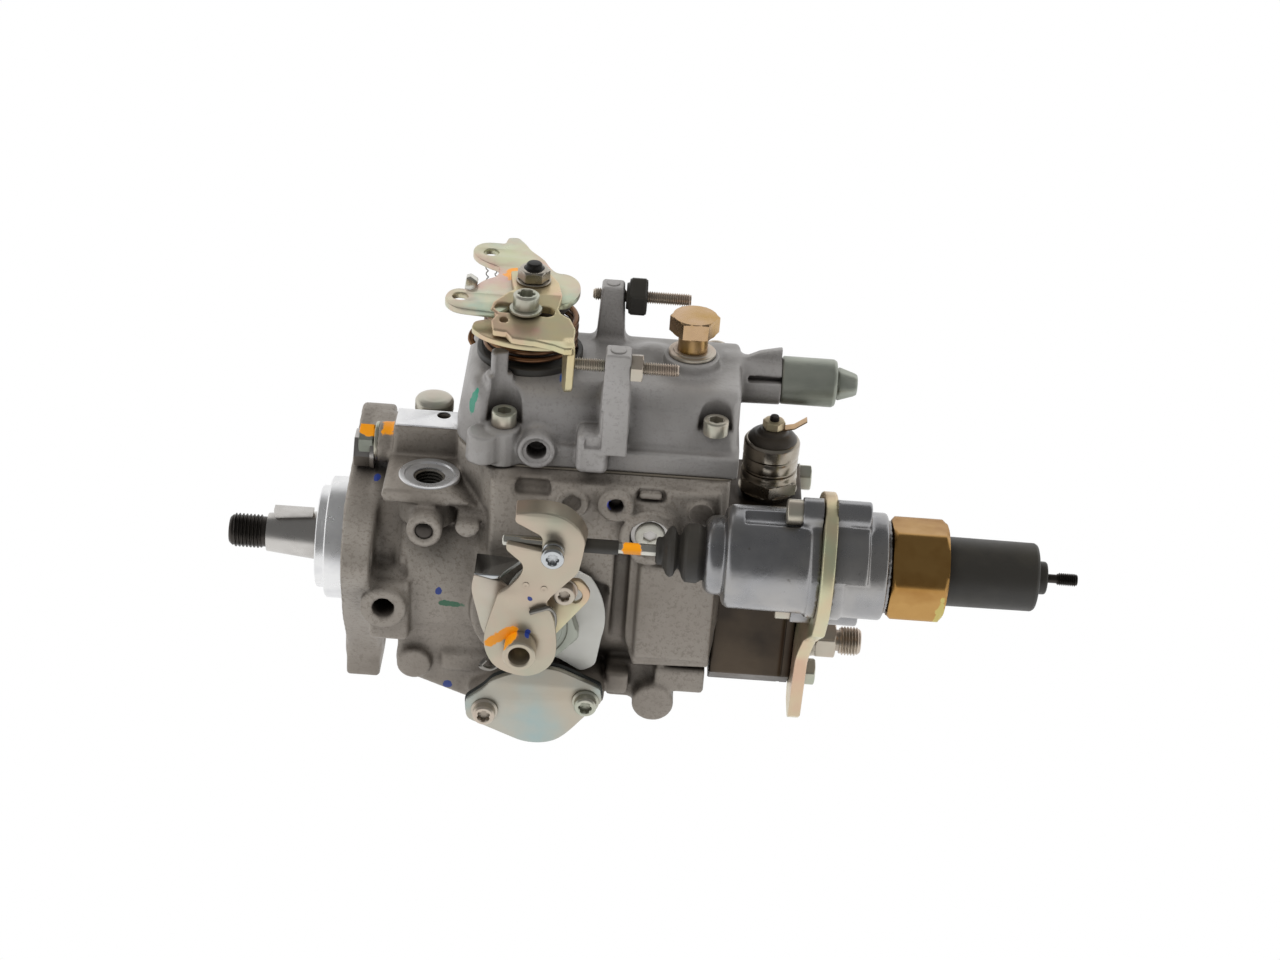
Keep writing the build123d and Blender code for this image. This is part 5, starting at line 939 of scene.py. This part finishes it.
add_group("cover_screw_heads", [turned(socket_head(4.9, z, z + 6, 2.5, 3.2), (x, y, 0), "+z", 0.25)
    for x, y, z in cover_spots], "pump", zinc_plate, "zinc_plate", replaces=("cover_screws",))
gasket_line = [(46.8, 36, 6), (46.8, -16.4, 3), (60.4, -36.1, 3), (156.8, -36.1, 6), (156.8, 36, 6)]
gasket_hole = loop_corners([(60, 25), (60, -25), (148, -25), (148, 25)], 4)
plate("lid_gasket", [loop_corners(gasket_line), gasket_hole], 59.95, 60.65, origin, "+z", "pump", fibre,
    "gasket", edge=0.1, replaces=("cover_gasket",))

# Overflow bolt of brass, with its flat washer
overflow = [(96.4, 0), (96.4, 6.1), (98.4, 5.9), (106.2, 5.9), (106.2, 8.6), (106.3, 9.8, 8.5),
    (112.6, 9.8, 8.5), (113.1, 8.6), (113.1, 0)]
add_turned("overflow_bolt_head", overflow, overflow_at, "+z", 0.12, "pump", brass, "brass", phase=radians(33),
    replaces=("overflow_bolt",))
add_turned("overflow_washer", [(96.4, 5.8), (96.4, 9), (96.7, 9.3), (97.7, 9.3), (98, 9), (98, 7.6),
    (98.5, 7.4), (98.5, 5.8), (96.4, 5.8)], overflow_at, "+z", 0.1, "pump", zinc_plate, "zinc_plate")

# Full load screw: galvanised sleeve and a crimped cone
sleeve = [(173, 0), (173, 9), (173.6, 9.6), (193.6, 9.6), (194.8, 8.9), (195, 8.2), (195, 6.4), (195.4, 6.3),
    (196.2, 6.4, -0.03), (202.2, 4.4, -0.05), (203.3, 3.8, -0.05), (203.5, 3), (203.5, 1.6), (202.9, 1.4),
    (202.9, 0)]
add_turned("full_load_sleeve", sleeve, full_load_at, "+x", 0.3, "pump", grey_zinc, "zinc_plate",
    replaces=("full_load_screw",))

# Shut-off solenoid: plated rims and hexagon, brown moulding, nut and brass blade
solenoid = [(34, 0), (34, 10.4), (36.9, 10.4), (37.1, 11.6), (37.4, 12.8, 11), (42.4, 12.8, 11), (42.9, 11.2),
    (44.6, 11.2), (46, 11.2), (46.2, 10.4), (47.4, 10.4), (47.6, 11.2), (51.4, 11.2), (52.2, 10.9),
    (53, 11.3), (58, 11.3), (59, 10.6), (59.2, 9.4), (58.6, 9.1), (58.6, 0)]
add_turned("solenoid_case", solenoid, solenoid_at, "+z", 0.3, "pump", solenoid_steel, "steel_bright",
    replaces=("solenoid_body",))
moulded = [(58, 0), (58, 9.9), (59.4, 10), (60.6, 9.2), (61.8, 7.6), (62.2, 6.2), (63.4, 5.6), (63.8, 4.8),
    (63.8, 0)]
add_turned("solenoid_moulding", moulded, solenoid_at, "+z", 0.4, "pump", moulding, "black_plastic")
add_turned("solenoid_nut", six(4.6, 4, 63.9, 67.4), solenoid_at, "+z", 0.2, "pump", zinc_yellow, "zinc_plate",
    phase=0.3)
add_group("solenoid_stud", [thread(66.5, 69.3, 2, 0.7, solenoid_at, "+z", steps=6, sides=24)], "pump",
    dark_steel, "steel_dark")
blade_line = [(-3, 63.85), (5, 63.85), (8.2, 64.6), (13, 68.2)]
blade_section = [(-2.1, 0), (2.1, 0), (2.1, 0.6), (-2.1, 0.6)]
blade_points = [(solenoid_at[0] + u, solenoid_at[1] + side, w + lift)
    for u, w in blade_line for side, lift in blade_section]
blade_faces = grid_faces(4, 4, around=True).tolist() + [[0, 1, 2, 3], [15, 14, 13, 12]]
add_piece("solenoid_blade", blade_points, blade_faces, "pump", brass, "brass",
    replaces=("solenoid_terminal",), bevel=0.12)


# Hydraulic head, its outlets and bolts
def head_distance(x, y, z):
    """Steel block with chamfered long edges, a shoulder towards the housing and a boss under the solenoid."""
    corner = (np.abs(y) + np.abs(z + 1.5) - 64) * 0.7071
    head = np.maximum(block(x, y, z, (153.2, -37, -37), (186, 37, 34), 1), corner)
    head = taken(head, block(x, y, z, (150, -50, 21.5), (186.5, -31, 40), 1), 0.8)
    groove = block(x, y, z, (181.6, -40, -40), (182.6, 40, 40), 0.1)
    head = np.maximum(head, -np.maximum(groove, -(np.maximum(np.abs(y) - 36.4, np.abs(z + 1.5) - 34.9))))
    return joined(head, round_bar(x - 171.7, y - 3, z, 13.2, 20, 34, 0.5), 1)


add_cast("hydraulic_head_block", head_distance, (151, -39, -39), (188, 39, 37), 0.8, "pump", oiled_head,
    "steel_black", replaces=("hydraulic_head",), sharp=40)
outlet_spots = [(28 * cos(radians(a)), 28 * sin(radians(a))) for a in (231, 351, 111)]
fitting = [(186, 0), (186, 7.2), (194.5, 7.2), (196.3, 6.9), (196.5, 7.6, 7), (197, 7.95, 7),
    (203.8, 7.95, 7), (204.5, 6.9), (204.6, 4.4), (206.4, 4.4), (206.6, 5.3), (206.6, 0)]
tip = [(213, 0), (213, 5), (213.4, 5.2), (214.6, 4.9), (215, 4.4), (215, 3.6), (213.2, 1.9), (213.2, 0)]
for k, (oy, oz) in enumerate(outlet_spots):
    at = (0, oy, oz)
    shapes = [turned(fitting, at, "+x", 0.2, phase=0.35 * k), turned(tip, at, "+x", 0.15, 40)]
    add_group("delivery_fitting_%d" % (k + 1), shapes, "pump", zinc_plate, "zinc_plate",
        replaces=("delivery_fittings",) if k == 0 else ())
    add_group("delivery_thread_%d" % (k + 1), [thread(206.2, 214.2, 5.95, 1.25, at, "+x")], "pump",
        zinc_plate, "zinc_plate", sharp=50)
head_bolt_spots = [(-31, -29, 191), (31, -29, 186), (31, 26, 186), (-31, 24, 186)]
add_group("head_bolt_heads", [turned(six(5.6, 5, x0, x0 + 5.4, 0, 5.8), (0, y, z), "+x", 0.2, phase=0.2 * y)
    for y, z, x0 in head_bolt_spots], "pump", zinc_plate, "zinc_plate", replaces=("head_bolts",))

# Bracket of yellow plate, bent twice, and the two housings clamped to it
bracket_path = smooth_line([(192.2, 70), (191.6, 58), (191.5, 40), (191.5, 18), (190.9, 11.5), (189.6, 3),
    (188.7, -5), (188.5, -14), (188.5, -30), (188.5, -45)], 73)


def bracket_distance(x, y, z):
    """Plate 5 mm thick on a bent centre line: a disc round the actuator run into a leg, cut square to X, with
    a bore."""
    middle = np.interp(z, bracket_path[::-1, 1], bracket_path[::-1, 0])
    leg = [(-80, 32), (-62, 60), (-41, 52), (-38.5, 20), (-27.4, 8), (-27.4, -36.5), (-31.4, -42.8),
        (-44, -43.2), (-49, -39), (-52, -12), (-61, 5), (-76, 18)]
    flat = joined(np.hypot(y + 60.4, z - 42.6) - 26.2, outline_distance(y, z, leg), 6)
    plate_field = slab(flat, x - middle, -2.5, 2.5, 0.7)
    return np.maximum(plate_field, 15 - np.hypot(y - actuator_y, z - actuator_z))


add_cast("actuator_bracket", bracket_distance, (184, -90, -47), (196, -25, 72), 0.62, "pump", zinc_yellow,
    "zinc_yellow", replaces=("bracket",))
lug_spots = [(actuator_y + 23.5 * cos(a), actuator_z + 23.5 * sin(a)) for a in (radians(98), radians(278))]


def actuator_distance(x, y, z):
    """Cast drum with a rounded shoulder and a nose, and lugs along two sides that the screws pass through."""
    v, w = y - actuator_y, z - actuator_z
    body = round_bar(v, w, x, 20.4, 153.2, 200, 3.4, -0.012)
    nose = round_bar(v, w, x, 15.2, 145.8, 160, 4)
    body = joined(body, nose, 1.6)
    body = joined(body, slab(np.hypot(v, w) - 21.6, x, 185.4, 192, 0.6), 2)
    for ly, lz in lug_spots:
        lug = round_bar(y - ly, z - lz, x, 5.9, 181, 192, 0.8)
        body = joined(body, lug, 3)
        body = taken(body, round_bar(y - ly, z - lz, x, 5.5, 160, 181.2, 0.4), 0.5)
    body = np.maximum(body, x - 188.9)
    return np.maximum(body, 2.6 - np.hypot(v, w))


def element_distance(x, y, z):
    """Second drum, with its own lugs, a step and a thin collar before the brass hexagon."""
    v, w = y - actuator_y, z - actuator_z
    body = round_bar(v, w, x, 20.6, 190, 214.6, 1.4, -0.008)
    body = joined(body, slab(np.hypot(v, w) - 21.6, x, 190, 198.4, 0.6), 2)
    for ly, lz in lug_spots:
        body = joined(body, round_bar(y - ly, z - lz, x, 5.8, 190, 207.2, 1), 3)
    pad = np.maximum(round_bar(v, w, x, 22.4, 185, 207, 1.2), 4 - w)
    body = joined(body, np.maximum(pad, -v - 22), 1.2)
    body = joined(body, round_bar(v, w, x, 17.8, 210, 216, 0.4), 0.4)
    return np.maximum(body, 194.1 - x)


add_cast("actuator_drum", actuator_distance, (144, -86, 10), (190, -36, 72), 0.72, "pump", actuator_cast,
    "cast_aluminium", replaces=("actuator_housing",), sharp=40)
add_cast("element_drum", element_distance, (193, -86, 10), (218, -36, 72), 0.72, "pump", actuator_cast,
    "cast_aluminium", replaces=("element_housing",), sharp=40)
add_group("actuator_screw_heads", [turned(socket_head(4.9, -181.3, -175.2, 2.5, 2.5), (0, y, z), "-x", 0.2)
    for y, z in lug_spots], "pump", zinc_plate, "zinc_plate", replaces=("actuator_screws",))
hex_profile = [(216, 0), (216, 16.4), (216.4, 16.8), (216.5, 18.2, 17.5), (217.9, 19.9, 17.5),
    (236.2, 19.9, 17.5), (237.8, 17.9, 17.5), (237.9, 14.5), (238.4, 14.5), (238.4, 0)]
add_turned("wax_element_hexagon", hex_profile, actuator_at, "+x", 0.25, "pump", brass_plug, "brass",
    phase=radians(20), replaces=("wax_element",))
cap = [(238, 0), (238, 13.2), (238.5, 13.3), (271.6, 13.1), (272.7, 12.4), (273, 11.4), (273, 6.6),
    (273.2, 6.4), (276.4, 6.3), (277, 5.8), (277, 0)]
add_turned("cap_of_element", cap, actuator_at, "+x", 0.3, "pump", black_nylon, "black_plastic",
    replaces=("wax_cap",))
stud_foot = [(276.5, 0), (276.5, 1.7), (281.2, 1.7), (281.4, 2.1), (281.4, 0)]
add_group("cap_stud", [turned(stud_foot, actuator_at, "+x", 0),
    thread(281.2, 289, 2.45, 0.8, actuator_at, "+x", sides=28)], "pump", dark_steel, "steel_dark")

# Rod, its black sleeve, and the bellows, here in one fixed shape
rod = [(68.5, 0), (68.5, 1.7), (69.1, 2.3), (167, 2.3), (168, 2.3), (168, 14.6), (173, 14.6), (173, 0)]
add_turned("cold_start_rod", rod, actuator_at, "+x", 0.2, "cold_rod", zinc_rod, "steel_bright",
    replaces=("actuator_rod",))
add_turned("rod_sleeve", [(99.5, 2.2), (99.5, 2.8), (112.8, 2.8), (113, 2.6), (113, 2.2), (99.5, 2.2)],
    actuator_at, "+x", 0.1, "cold_rod", black_nylon, "black_plastic")
folds = [(127.4, 2.7), (127.2, 3.4), (127.4, 4.8), (128.2, 5.4), (129.6, 5.3), (130.2, 6), (131.6, 8.8),
    (133, 9.9), (134.4, 9.3), (135.2, 7.2), (136, 6.2), (136.9, 7.4), (137.8, 9.9), (139, 11.3),
    (143.2, 11.5), (144.6, 10.6), (145.6, 10), (147.2, 9.8), (147.2, 2.7), (127.4, 2.7)]
boot = add_turned("rod_bellows", folds, actuator_at, "+x", 0.3, None, boot_rubber, "rubber",
    replaces=("rod_boot",))
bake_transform(boot)


# Cold start device on the near side
pivot = (77.7, -2.6)
arm_line = [(78.3, -17.6, 6), (67.9, -14.2, 5), (63.6, -6, 5), (63.3, 1.3, 5), (65.1, 8.9, 3),
    (68.1, 20.2, 2), (72.2, 23.3, 2), (76.5, 29, 3), (77.6, 34, 3), (70.4, 40.3, 1.2), (70.3, 43.4, 1),
    (84.1, 40.8, 0.6), (84, 47.2, 2), (73.2, 52.9, 1.5), (73.5, 56.6, 1.2), (82.5, 57.9, 4), (91.6, 56.5, 5),
    (98, 51.2, 4), (100.3, 46.4, 3), (99.9, 41, 3), (98.4, 32, 2), (94.7, 27.7, 3), (88.4, 20.3, 1),
    (86.8, 17.4, 1), (90.2, 10.1, 3), (92.2, -3.7, 7), (90.3, -11.4, 5), (84.8, -16.2, 5)]
plate("cold_start_arm", [loop_corners(arm_line), ring_line(pivot, 5.4)], 63.5, 66, origin, "-y", "cold_lever",
    zinc_arm, "zinc_plate", edge=0.3, replaces=("cold_lever",))


def bent_rim(path, thickness, front, back, lean=0):
    """Edge of a plate bent away from the camera: the path (x, z) and its copy set inwards by the thickness,
    carried from the front to the back depth, and moved outwards by lean over that way."""
    line = smooth_line(path, 8 * len(path))
    along = np.gradient(line, axis=0)
    along /= np.linalg.norm(along, axis=1, keepdims=True)
    inward = np.stack([along[:, 1], -along[:, 0]], 1)
    rings = []
    for shift, depth, out in ((0, front, 0), (thickness, front, 0), (thickness, back, lean), (0, back, lean)):
        spot = line + inward * (shift - out)
        rings.append(np.stack([spot[:, 0], np.full(len(line), -depth), spot[:, 1]], 1))
    points = np.stack(rings, 1).reshape(-1, 3)
    faces = grid_faces(len(line), 4, around=True).tolist() + [[0, 1, 2, 3]]
    last = 4 * (len(line) - 1)
    return points, faces + [[last + 3, last + 2, last + 1, last]]


rim_path = [(73.3, 56.7), (82.5, 57.8), (91.4, 56.4), (97.6, 51.4), (100.2, 46.3), (99.9, 42)]
add_group("cold_start_arm_rim", [bent_rim(rim_path, 2.2, 65.7, 57.2, 0.8)], "cold_lever", zinc_arm,
    "zinc_plate", bevel=0.35)
add_turned("pivot_tube", [(52, 0), (52, 4.9), (63, 4.9), (65.5, 4.9), (66, 6.3), (73.8, 6.5), (74.4, 6),
    (74.4, 4.6), (74, 4.1), (62.5, 3.9), (62.5, 0)], (pivot[0], 0, pivot[1]), "-y", 0.2, "cold_lever",
    zinc_arm, "zinc_plate", replaces=("cold_shaft",))
dent = [(65.8, 0), (66.05, 1.2), (66.25, 1.25), (66.3, 1), (66.15, 0.5), (66.1, 0)]
add_group("arm_dents", [turned(dent, (x, 0, z), "-y", 0, 20) for x, z in ((78.6, 25.2), (85.7, 24))],
    "cold_lever", zinc_arm, "zinc_plate")
pin = [(56.3, 0), (56.3, 3), (57, 3.6), (63.6, 3.6), (64.2, 3), (66.2, 3), (66.4, 4.3), (67.6, 4.5),
    (68.4, 4.2), (68.6, 3.3), (69.2, 3.3), (69.3, 4.4), (72.3, 4.5), (73, 3.9), (73, 2.7),
    (72.8, 2.35, -0.12), (71.2, 2.35, -0.12), (70.9, 0)]
add_turned("rod_clamp_pin", pin, (88.4, 0, 41.5), "-y", 0.15, "cold_rod", bright_steel, "zinc_plate",
    replaces=("clamp_pin",))

# White disc, hexagon bush, stop plate with its shelf, slotted plate and its screw
disc_line = [(pivot[0] + 32.2 * cos(radians(a)), pivot[1] + 32.2 * sin(radians(a)), 0.5)
    for a in range(38, -18, -4)]
disc_line += [(107.2, -24, 2.5), (101.6, -27.2, 2), (91, -20.8, 3), (80, -22.5, 6), (70, -13, 8), (68, 2, 8),
    (73, 17, 8), (86, 26, 6)]
plate("white_disc", [loop_corners(disc_line[::-1])], 44, 45, origin, "-y", "pump", white_acetal, "zinc_plate",
    edge=0.2, replaces=("cold_bush",))
bush = [(45, 0), (45, 17.4, 16.6), (45.3, 19.3, 17), (51, 19.3, 17), (52, 17.2, 16.6), (52, 14.4),
    (51.6, 14.2), (51.6, 12.4), (52, 12.2), (52, 0)]
add_turned("hexagon_bush", bush, (81, 0, -3), "-y", 0.3, "pump", grey_zinc, "zinc_plate", phase=radians(18))
stop_line = [(58.2, 23.8, 1.2), (68.2, 21.2, 1), (72.5, 17.5, 3), (84, 8, 6), (88, -4, 8), (80, -13, 8),
    (68, -10, 6), (62.4, -3, 4), (57, 17, 4)]
plate("stop_plate_of_arm", [loop_corners(stop_line[::-1])], 56.6, 58.6, origin, "-y", "pump", zinc_plate,
    "zinc_plate", edge=0.3, replaces=("cold_stops",))
shelf_line = [(58.2, 56.8), (58, 43), (76, 45), (69.6, 55), (68.2, 58.4), (58.2, 58.4)]
plate("stop_plate_shelf", [loop_corners([(x, -y, 0.8) for x, y in shelf_line])], 21.8, 23.8, origin, "+z",
    "pump", bright_steel, "zinc_plate", edge=0.3)
slotted_line = [(90, 24.2, 3), (94.6, 22, 2), (99.2, 23.2, 3), (103.6, 17.6, 3), (103, 13.6, 2), (91, -3, 4),
    (84, -12, 8), (70, -8, 8), (70, 6, 6), (84, 16, 3)]
# hole whose right half stands 5 mm along and 2.5 mm down
slot_hole = [(92 + 3.4 * cos(a) + 5 * (cos(a) > 0), 17.9 + 3.4 * sin(a) - 2.5 * (cos(a) > 0))
    for a in np.linspace(0, turn, 24, endpoint=False)]
plate("slotted_plate", [loop_corners(slotted_line[::-1]), slot_hole], 54, 56.2, origin, "-y", "pump",
    zinc_yellow, "zinc_plate", edge=0.3)
slot_screw = [(56, 0), (56, 5.2), (56.9, 5.2), (57, 4.6, 4.1), (60.2, 4.6, 4.1), (60.9, 4), (60.9, 2.6),
    (60.7, 2.2, -0.12), (58.9, 2.2, -0.12), (58.7, 0)]
add_turned("slot_screw", slot_screw, (93.4, 0, 17.9), "-y", 0.15, "pump", zinc_plate, "zinc_plate", phase=0.3)
coil_turn = np.linspace(radians(-100), radians(-100) + turn * 2.15, 150)
torsion_path = np.stack([pivot[0] + 12.4 * np.cos(coil_turn), -58.9 - 3.6 * np.linspace(0, 1, 150),
    pivot[1] + 12.4 * np.sin(coil_turn)], 1)
lower_hook = smooth_line([(64.2, -61.5, -13.6), (62.6, -62.5, -16), (66.4, -60.4, -18.4),
    (71.5, -59.2, -15.2)], 24)
upper_hook = smooth_line([(89.9, -59.5, 1), (90.4, -61, 6), (89.8, -63, 11.5), (87.6, -66.4, 15.6),
    (84.6, -67.4, 15.2), (80.8, -67.2, 13.4)], 36)
torsion = add_group("arm_torsion_spring", [wire(torsion_path, 0.95), wire(lower_hook, 0.95),
    wire(upper_hook, 0.95)], None, spring_bright, "spring_steel", replaces=("torsion_spring",))
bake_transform(torsion)

# Timing device: pressed covers, seals and star screws on both sides
timing_line = [(56.2, -40.4, 2), (63.6, -33.9, 2), (66.7, -29.7, 2), (73, -26.6, 3), (84.3, -22.2, 5),
    (92.6, -22.6, 4), (109.9, -30.4, 1.5), (111, -37.1, 2), (108.1, -39.8, 2), (98.3, -52.5, 4),
    (93.7, -56.9, 3), (88.1, -58.9, 3), (80.4, -59, 4), (56.9, -49.1, 2.5)]
seal_line = [(84 + (x - 84) * 1.015, -40.6 + (z + 40.6) * 1.02, r) for x, z, r in timing_line]
cover_screw = [(52, 0), (52, 5.4), (52.9, 5.4), (53.3, 4.5), (56.2, 4.5), (57, 3.8), (57, 2.9),
    (56.8, 2.5, -0.12), (54.6, 2.5, -0.12), (54.4, 0)]
for way, sign, side in (("-y", 1, "near"), ("+y", -1, "far")):
    outline, seal = [loop_corners([(sign * x, z, r) for x, z, r in line])[::sign]
        for line in (timing_line, seal_line)]
    first = side == "near"
    plate("timing_cover_" + side, [outline], 49.3, 52, origin, way, "pump", zinc_plate_cover, "zinc_plate",
        edge=0.35, replaces=("timing_covers",) if first else ())
    plate("timing_seal_" + side, [seal], 47.3, 49.4, origin, way, "pump", seal_rubber, "rubber", edge=0.3,
        replaces=("timing_seals",) if first else ())
    screws = [turned(cover_screw, (x, 0, z), way, 0.15, phase=0.2 + x) for x, z in timing_spots]
    add_group("timing_screws_" + side, screws, "pump", zinc_plate, "zinc_plate",
        replaces=("timing_screws",) if first else ())

# Throttle lever pack on the lid
ear_line = [(39.8, -11.8, 4), (41.3, -6.6, 4), (44.4, -4.3, 3), (50, -5.3, 2), (51.3, 0.2, 3), (54.3, 5.2, 3),
    (58.6, 8.2, 4), (59.2, 16.8, 4), (54.7, 19.2, 3), (49.4, 23.9, 3), (46.9, 29.4, 4), (47.9, 35.5, 4),
    (51.6, 39.2, 4), (59.4, 39, 1), (60.3, 44.8, 1.5), (64.4, 45.4, 1.5), (67.6, 40.1, 2), (70, 34.5, 2),
    (76, 26.1, 2), (78.4, 19.5, 3), (81.4, 14.9, 2), (86.5, 14.6, 4), (90.6, 9, 4), (91.6, 1.2, 4),
    (90.4, -5.6, 4), (86.8, -11.6, 3), (84.1, -12.6, 3), (75, -13.6, 3), (66.4, -14.6, 2), (61.4, -23.8, 2),
    (44.6, -21.9, 4), (40.4, -17.1, 4)]
ear_holes = [ring_line((54.5, 30), 3.1), ring_line((45.7, -11.5), 3.1)]
plate("lever_with_ears", [loop_corners(ear_line[::-1])] + ear_holes, 116.7, 119.3, origin, "+z", "throttle",
    zinc_levers, "zinc_yellow", edge=0.35, replaces=("ear_plate",))
stub_line = [(46.4, 117, 0.4), (46.9, 121.8, 0.6), (48.6, 122.4, 0.6), (51.6, 120.4, 0.8), (50.8, 117, 0.4)]
plate("ear_stub", [loop_corners(stub_line)], -3, 0.6, origin, "-y", "throttle", zinc_rod, "zinc_yellow",
    edge=0.3)


def lever_front_distance(x, y, z):
    """Plate 3 mm thick that drops 6 mm between Y -11 and Y -38, with an arc slot, a hole and a tab bent
    down."""
    level = z + 6 * np.clip((-11 - y) / 27, 0, 1)
    outline = [(64.3, 7.3), (65.4, -1.5), (66.6, -8.2), (62, -14.2), (59.2, -17.6), (58.6, -21.4),
        (61.2, -24.6), (59.4, -28.3), (60.4, -33.2), (65, -33.8), (67.6, -37.1), (76.1, -38), (83.2, -40.5),
        (87.6, -43.2), (90, -42.6), (90.4, -30), (88.2, -24.6), (84.6, -22), (83.2, -19), (84.2, -10.6),
        (82.4, 0.2), (79, 7.2), (73, 9.6)]
    front = slab(outline_distance(x, y, outline) - 0.5, level, 119.4, 122.3, 0.5)
    swung, beside = 0.961 * (x - 89.1) + 0.276 * (y + 38), 0.961 * (y + 38) - 0.276 * (x - 89.1)
    tab = slab(link_distance(beside, z, (0, 99, 3.4), (0, 112.2, 4.2)), swung, -1.5, 1.5, 0.5)
    front = joined(front, tab, 1.4)
    arc_slot = link_distance(x, y, (62.4, -20.3, 2.9), (79.6, -21.3, 2.9))
    front = np.maximum(front, -slab(arc_slot, z, 110, 130, 0.1))
    return np.maximum(front, 1.7 - np.hypot(x - 63.6, y + 27.6) - 20 * (z < 110))


add_cast("lever_with_tab", lever_front_distance, (57, -46, 94), (93.5, 11.5, 124), 0.42, "throttle",
    zinc_gold, "zinc_yellow", replaces=("stop_plate",), sharp=45)
shelf = [(73, -10, 6), (60, -15.6, 3), (51.9, -19.6, 2), (51.2, -25.6, 2), (56, -31.6, 5), (63, -35.2, 5),
    (70, -37, 5), (77, -37.4, 4), (84, -36, 2), (86, -30, 3), (84, -14, 4)]
plate("spring_shelf", [loop_corners(shelf)], 110.9, 113.2, origin, "+z", "throttle", zinc_gold, "zinc_yellow",
    edge=0.35, replaces=("spring_plate",))
hub = [(107.2, 0), (107.2, 9), (109, 9), (109.2, 12.6), (112.8, 13), (113, 15), (116, 15), (116.7, 14.4),
    (116.7, 0)]
add_turned("spring_cup", hub, lever_at, "+z", 0.3, "throttle", dark_steel, "zinc_yellow")
add_turned("lever_shaft", [(60.6, 0), (60.6, 6), (109, 6), (109, 4), (122, 4), (128, 4), (128.2, 3.1),
    (129.6, 3.1), (130.2, 2.5), (130.2, 0)], lever_at, "+z", 0.2, "throttle", black_steel, "steel_bright",
    replaces=("throttle_shaft",))
nut_washer = [(122.3, 4), (122.3, 6.5), (122.6, 6.7), (123.1, 6.7), (123.4, 6.4), (123.4, 4), (122.3, 4)]
nut = [(123.4, 4), (123.4, 5.3), (123.7, 6.3, 5.5), (127.2, 6.3, 5.5), (127.8, 5.3), (128, 4), (123.4, 4)]
add_group("lever_nut", [turned(nut_washer, lever_at, "+z", 0.1),
    turned(nut, lever_at, "+z", 0.15, phase=0.56)], "throttle", solenoid_steel, "zinc_plate",
    replaces=("lever_fasteners",))
screw_washer = [(120, 0), (120, 6.2), (121.4, 6.2), (121.5, 0)]
add_group("lever_screw", [turned(line, slot_screw_at, "+z", 0.2)
    for line in (screw_washer, star_head(5, 121.4, 127.4, 2.8, 2.6))], "throttle", zinc_plate, "zinc_plate")
# black nylon seat under the return spring, made as wide as the dark shade under the shelf, so that its black
# is partly painted shade
add_turned("spring_seat_with_painted_shade", [(91, 0), (91, 20.4), (91.6, 20.8), (94, 20.8), (94.3, 20.4), (94.3, 18.9),
    (93.4, 18.7), (93.4, 0)], lever_at, "+z", 0.1, "pump", black_nylon, "black_plastic")
coil_turn = np.linspace(0, turn * 4.6, 420)
coil_path = np.stack([lever_at[0] + 17.4 * np.cos(coil_turn), 17.4 * np.sin(coil_turn),
    np.linspace(94.4, 109.2, 420)], 1)
add_group("lever_return_spring", [wire(coil_path, 1.2)], "pump", spring_steel, "spring_steel",
    replaces=("return_spring",))
hook = smooth_line([(58, -9.5, 108), (54, -13, 107.6), (51.4, -16.6, 107), (50.8, -18.2, 104.8),
    (51.8, -19, 103)], 30)
add_group("lever_spring_hook", [wire(hook, 1.2)], "throttle", spring_steel, "spring_steel")
for k, (px, py) in enumerate(((53, 24), (56.6, 22))):
    spiral, drop = np.linspace(0, turn * 5, 90), np.linspace(0, 1, 90)
    strand = np.stack([px + 0.45 * np.cos(spiral + 2 * k) + 1.2 * drop,
        py + 0.45 * np.sin(spiral) - 3 * drop, 119.2 - 12 * drop], 1)
    add_group("lock_wire_%d" % (k + 1), [wire(strand, 0.22, 6)], "throttle", spring_bright, "spring_steel")

# Stop screws, their lock nut and the black collar
for name, start, end, at, replaced in (("front_stop_screw", 91, 131, front_screw_at, ("stop_screws",)),
        ("rear_stop_screw", 96, 135, rear_screw_at, ())):
    core = [(start, 0), (start, 1.5), (start + 0.6, 2), (end, 2), (end, 0)]
    shapes = [turned(core, at, "+x", 0.1, 32), thread(start + 0.5, end, 2.5, 0.9, at, "+x")]
    add_group(name, shapes, "pump", zinc_plate, "zinc_plate", replaces=replaced, sharp=50)
add_turned("front_lock_nut", [(112.5, 2.3), (112.5, 4), (112.9, 5.6, 4.9), (117, 5.6, 4.9), (117.4, 4.8),
    (117.4, 2.3), (112.5, 2.3)], front_screw_at, "+x", 0.15, "pump", zinc_plate, "zinc_plate", phase=0.15)
ridges = [(109.2, 0), (109.2, 5.2), (110.2, 5.4), (110.4, 7.4, 6.8), (111.6, 8.3, 7.3), (116.4, 8.3, 7.3),
    (117.4, 7.4, 6.8), (117.6, 5.4), (117.6, 0)]
add_turned("black_stop_collar", ridges, rear_screw_at, "+x", 0.3, "pump", black_nylon, "black_plastic",
    phase=0.1, replaces=("top_collar",))


# Inner pieces keep their solids and get their finishes
def dress(material, *nodes):
    """Gives the material to the frame's own mesh of each node."""
    for node_name in nodes:
        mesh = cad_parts[node_name].data
        mesh.materials.clear()
        mesh.materials.append(material)


dress(ground_steel, "woodruff_key", "pump_rotor", "pump_ring", "drive_gear", "governor_cage", "cam_plate",
    "plunger", "barrel", "roller_ring", "governor_lever", "governor_pins", "governor_sleeve",
    "control_collar", "spring_bridge", "timing_piston", "solenoid_armature", "delivery_valves",
    "housing_plugs")
dress(spring_bright, "plunger_springs", "timing_spring", "governor_spring")
dress(bronze, "shaft_bearing")

# The timing spring shortens from its piston end by the piston's travel; here it only gets a mesh of its own
spring_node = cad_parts["timing_spring"]
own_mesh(spring_node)
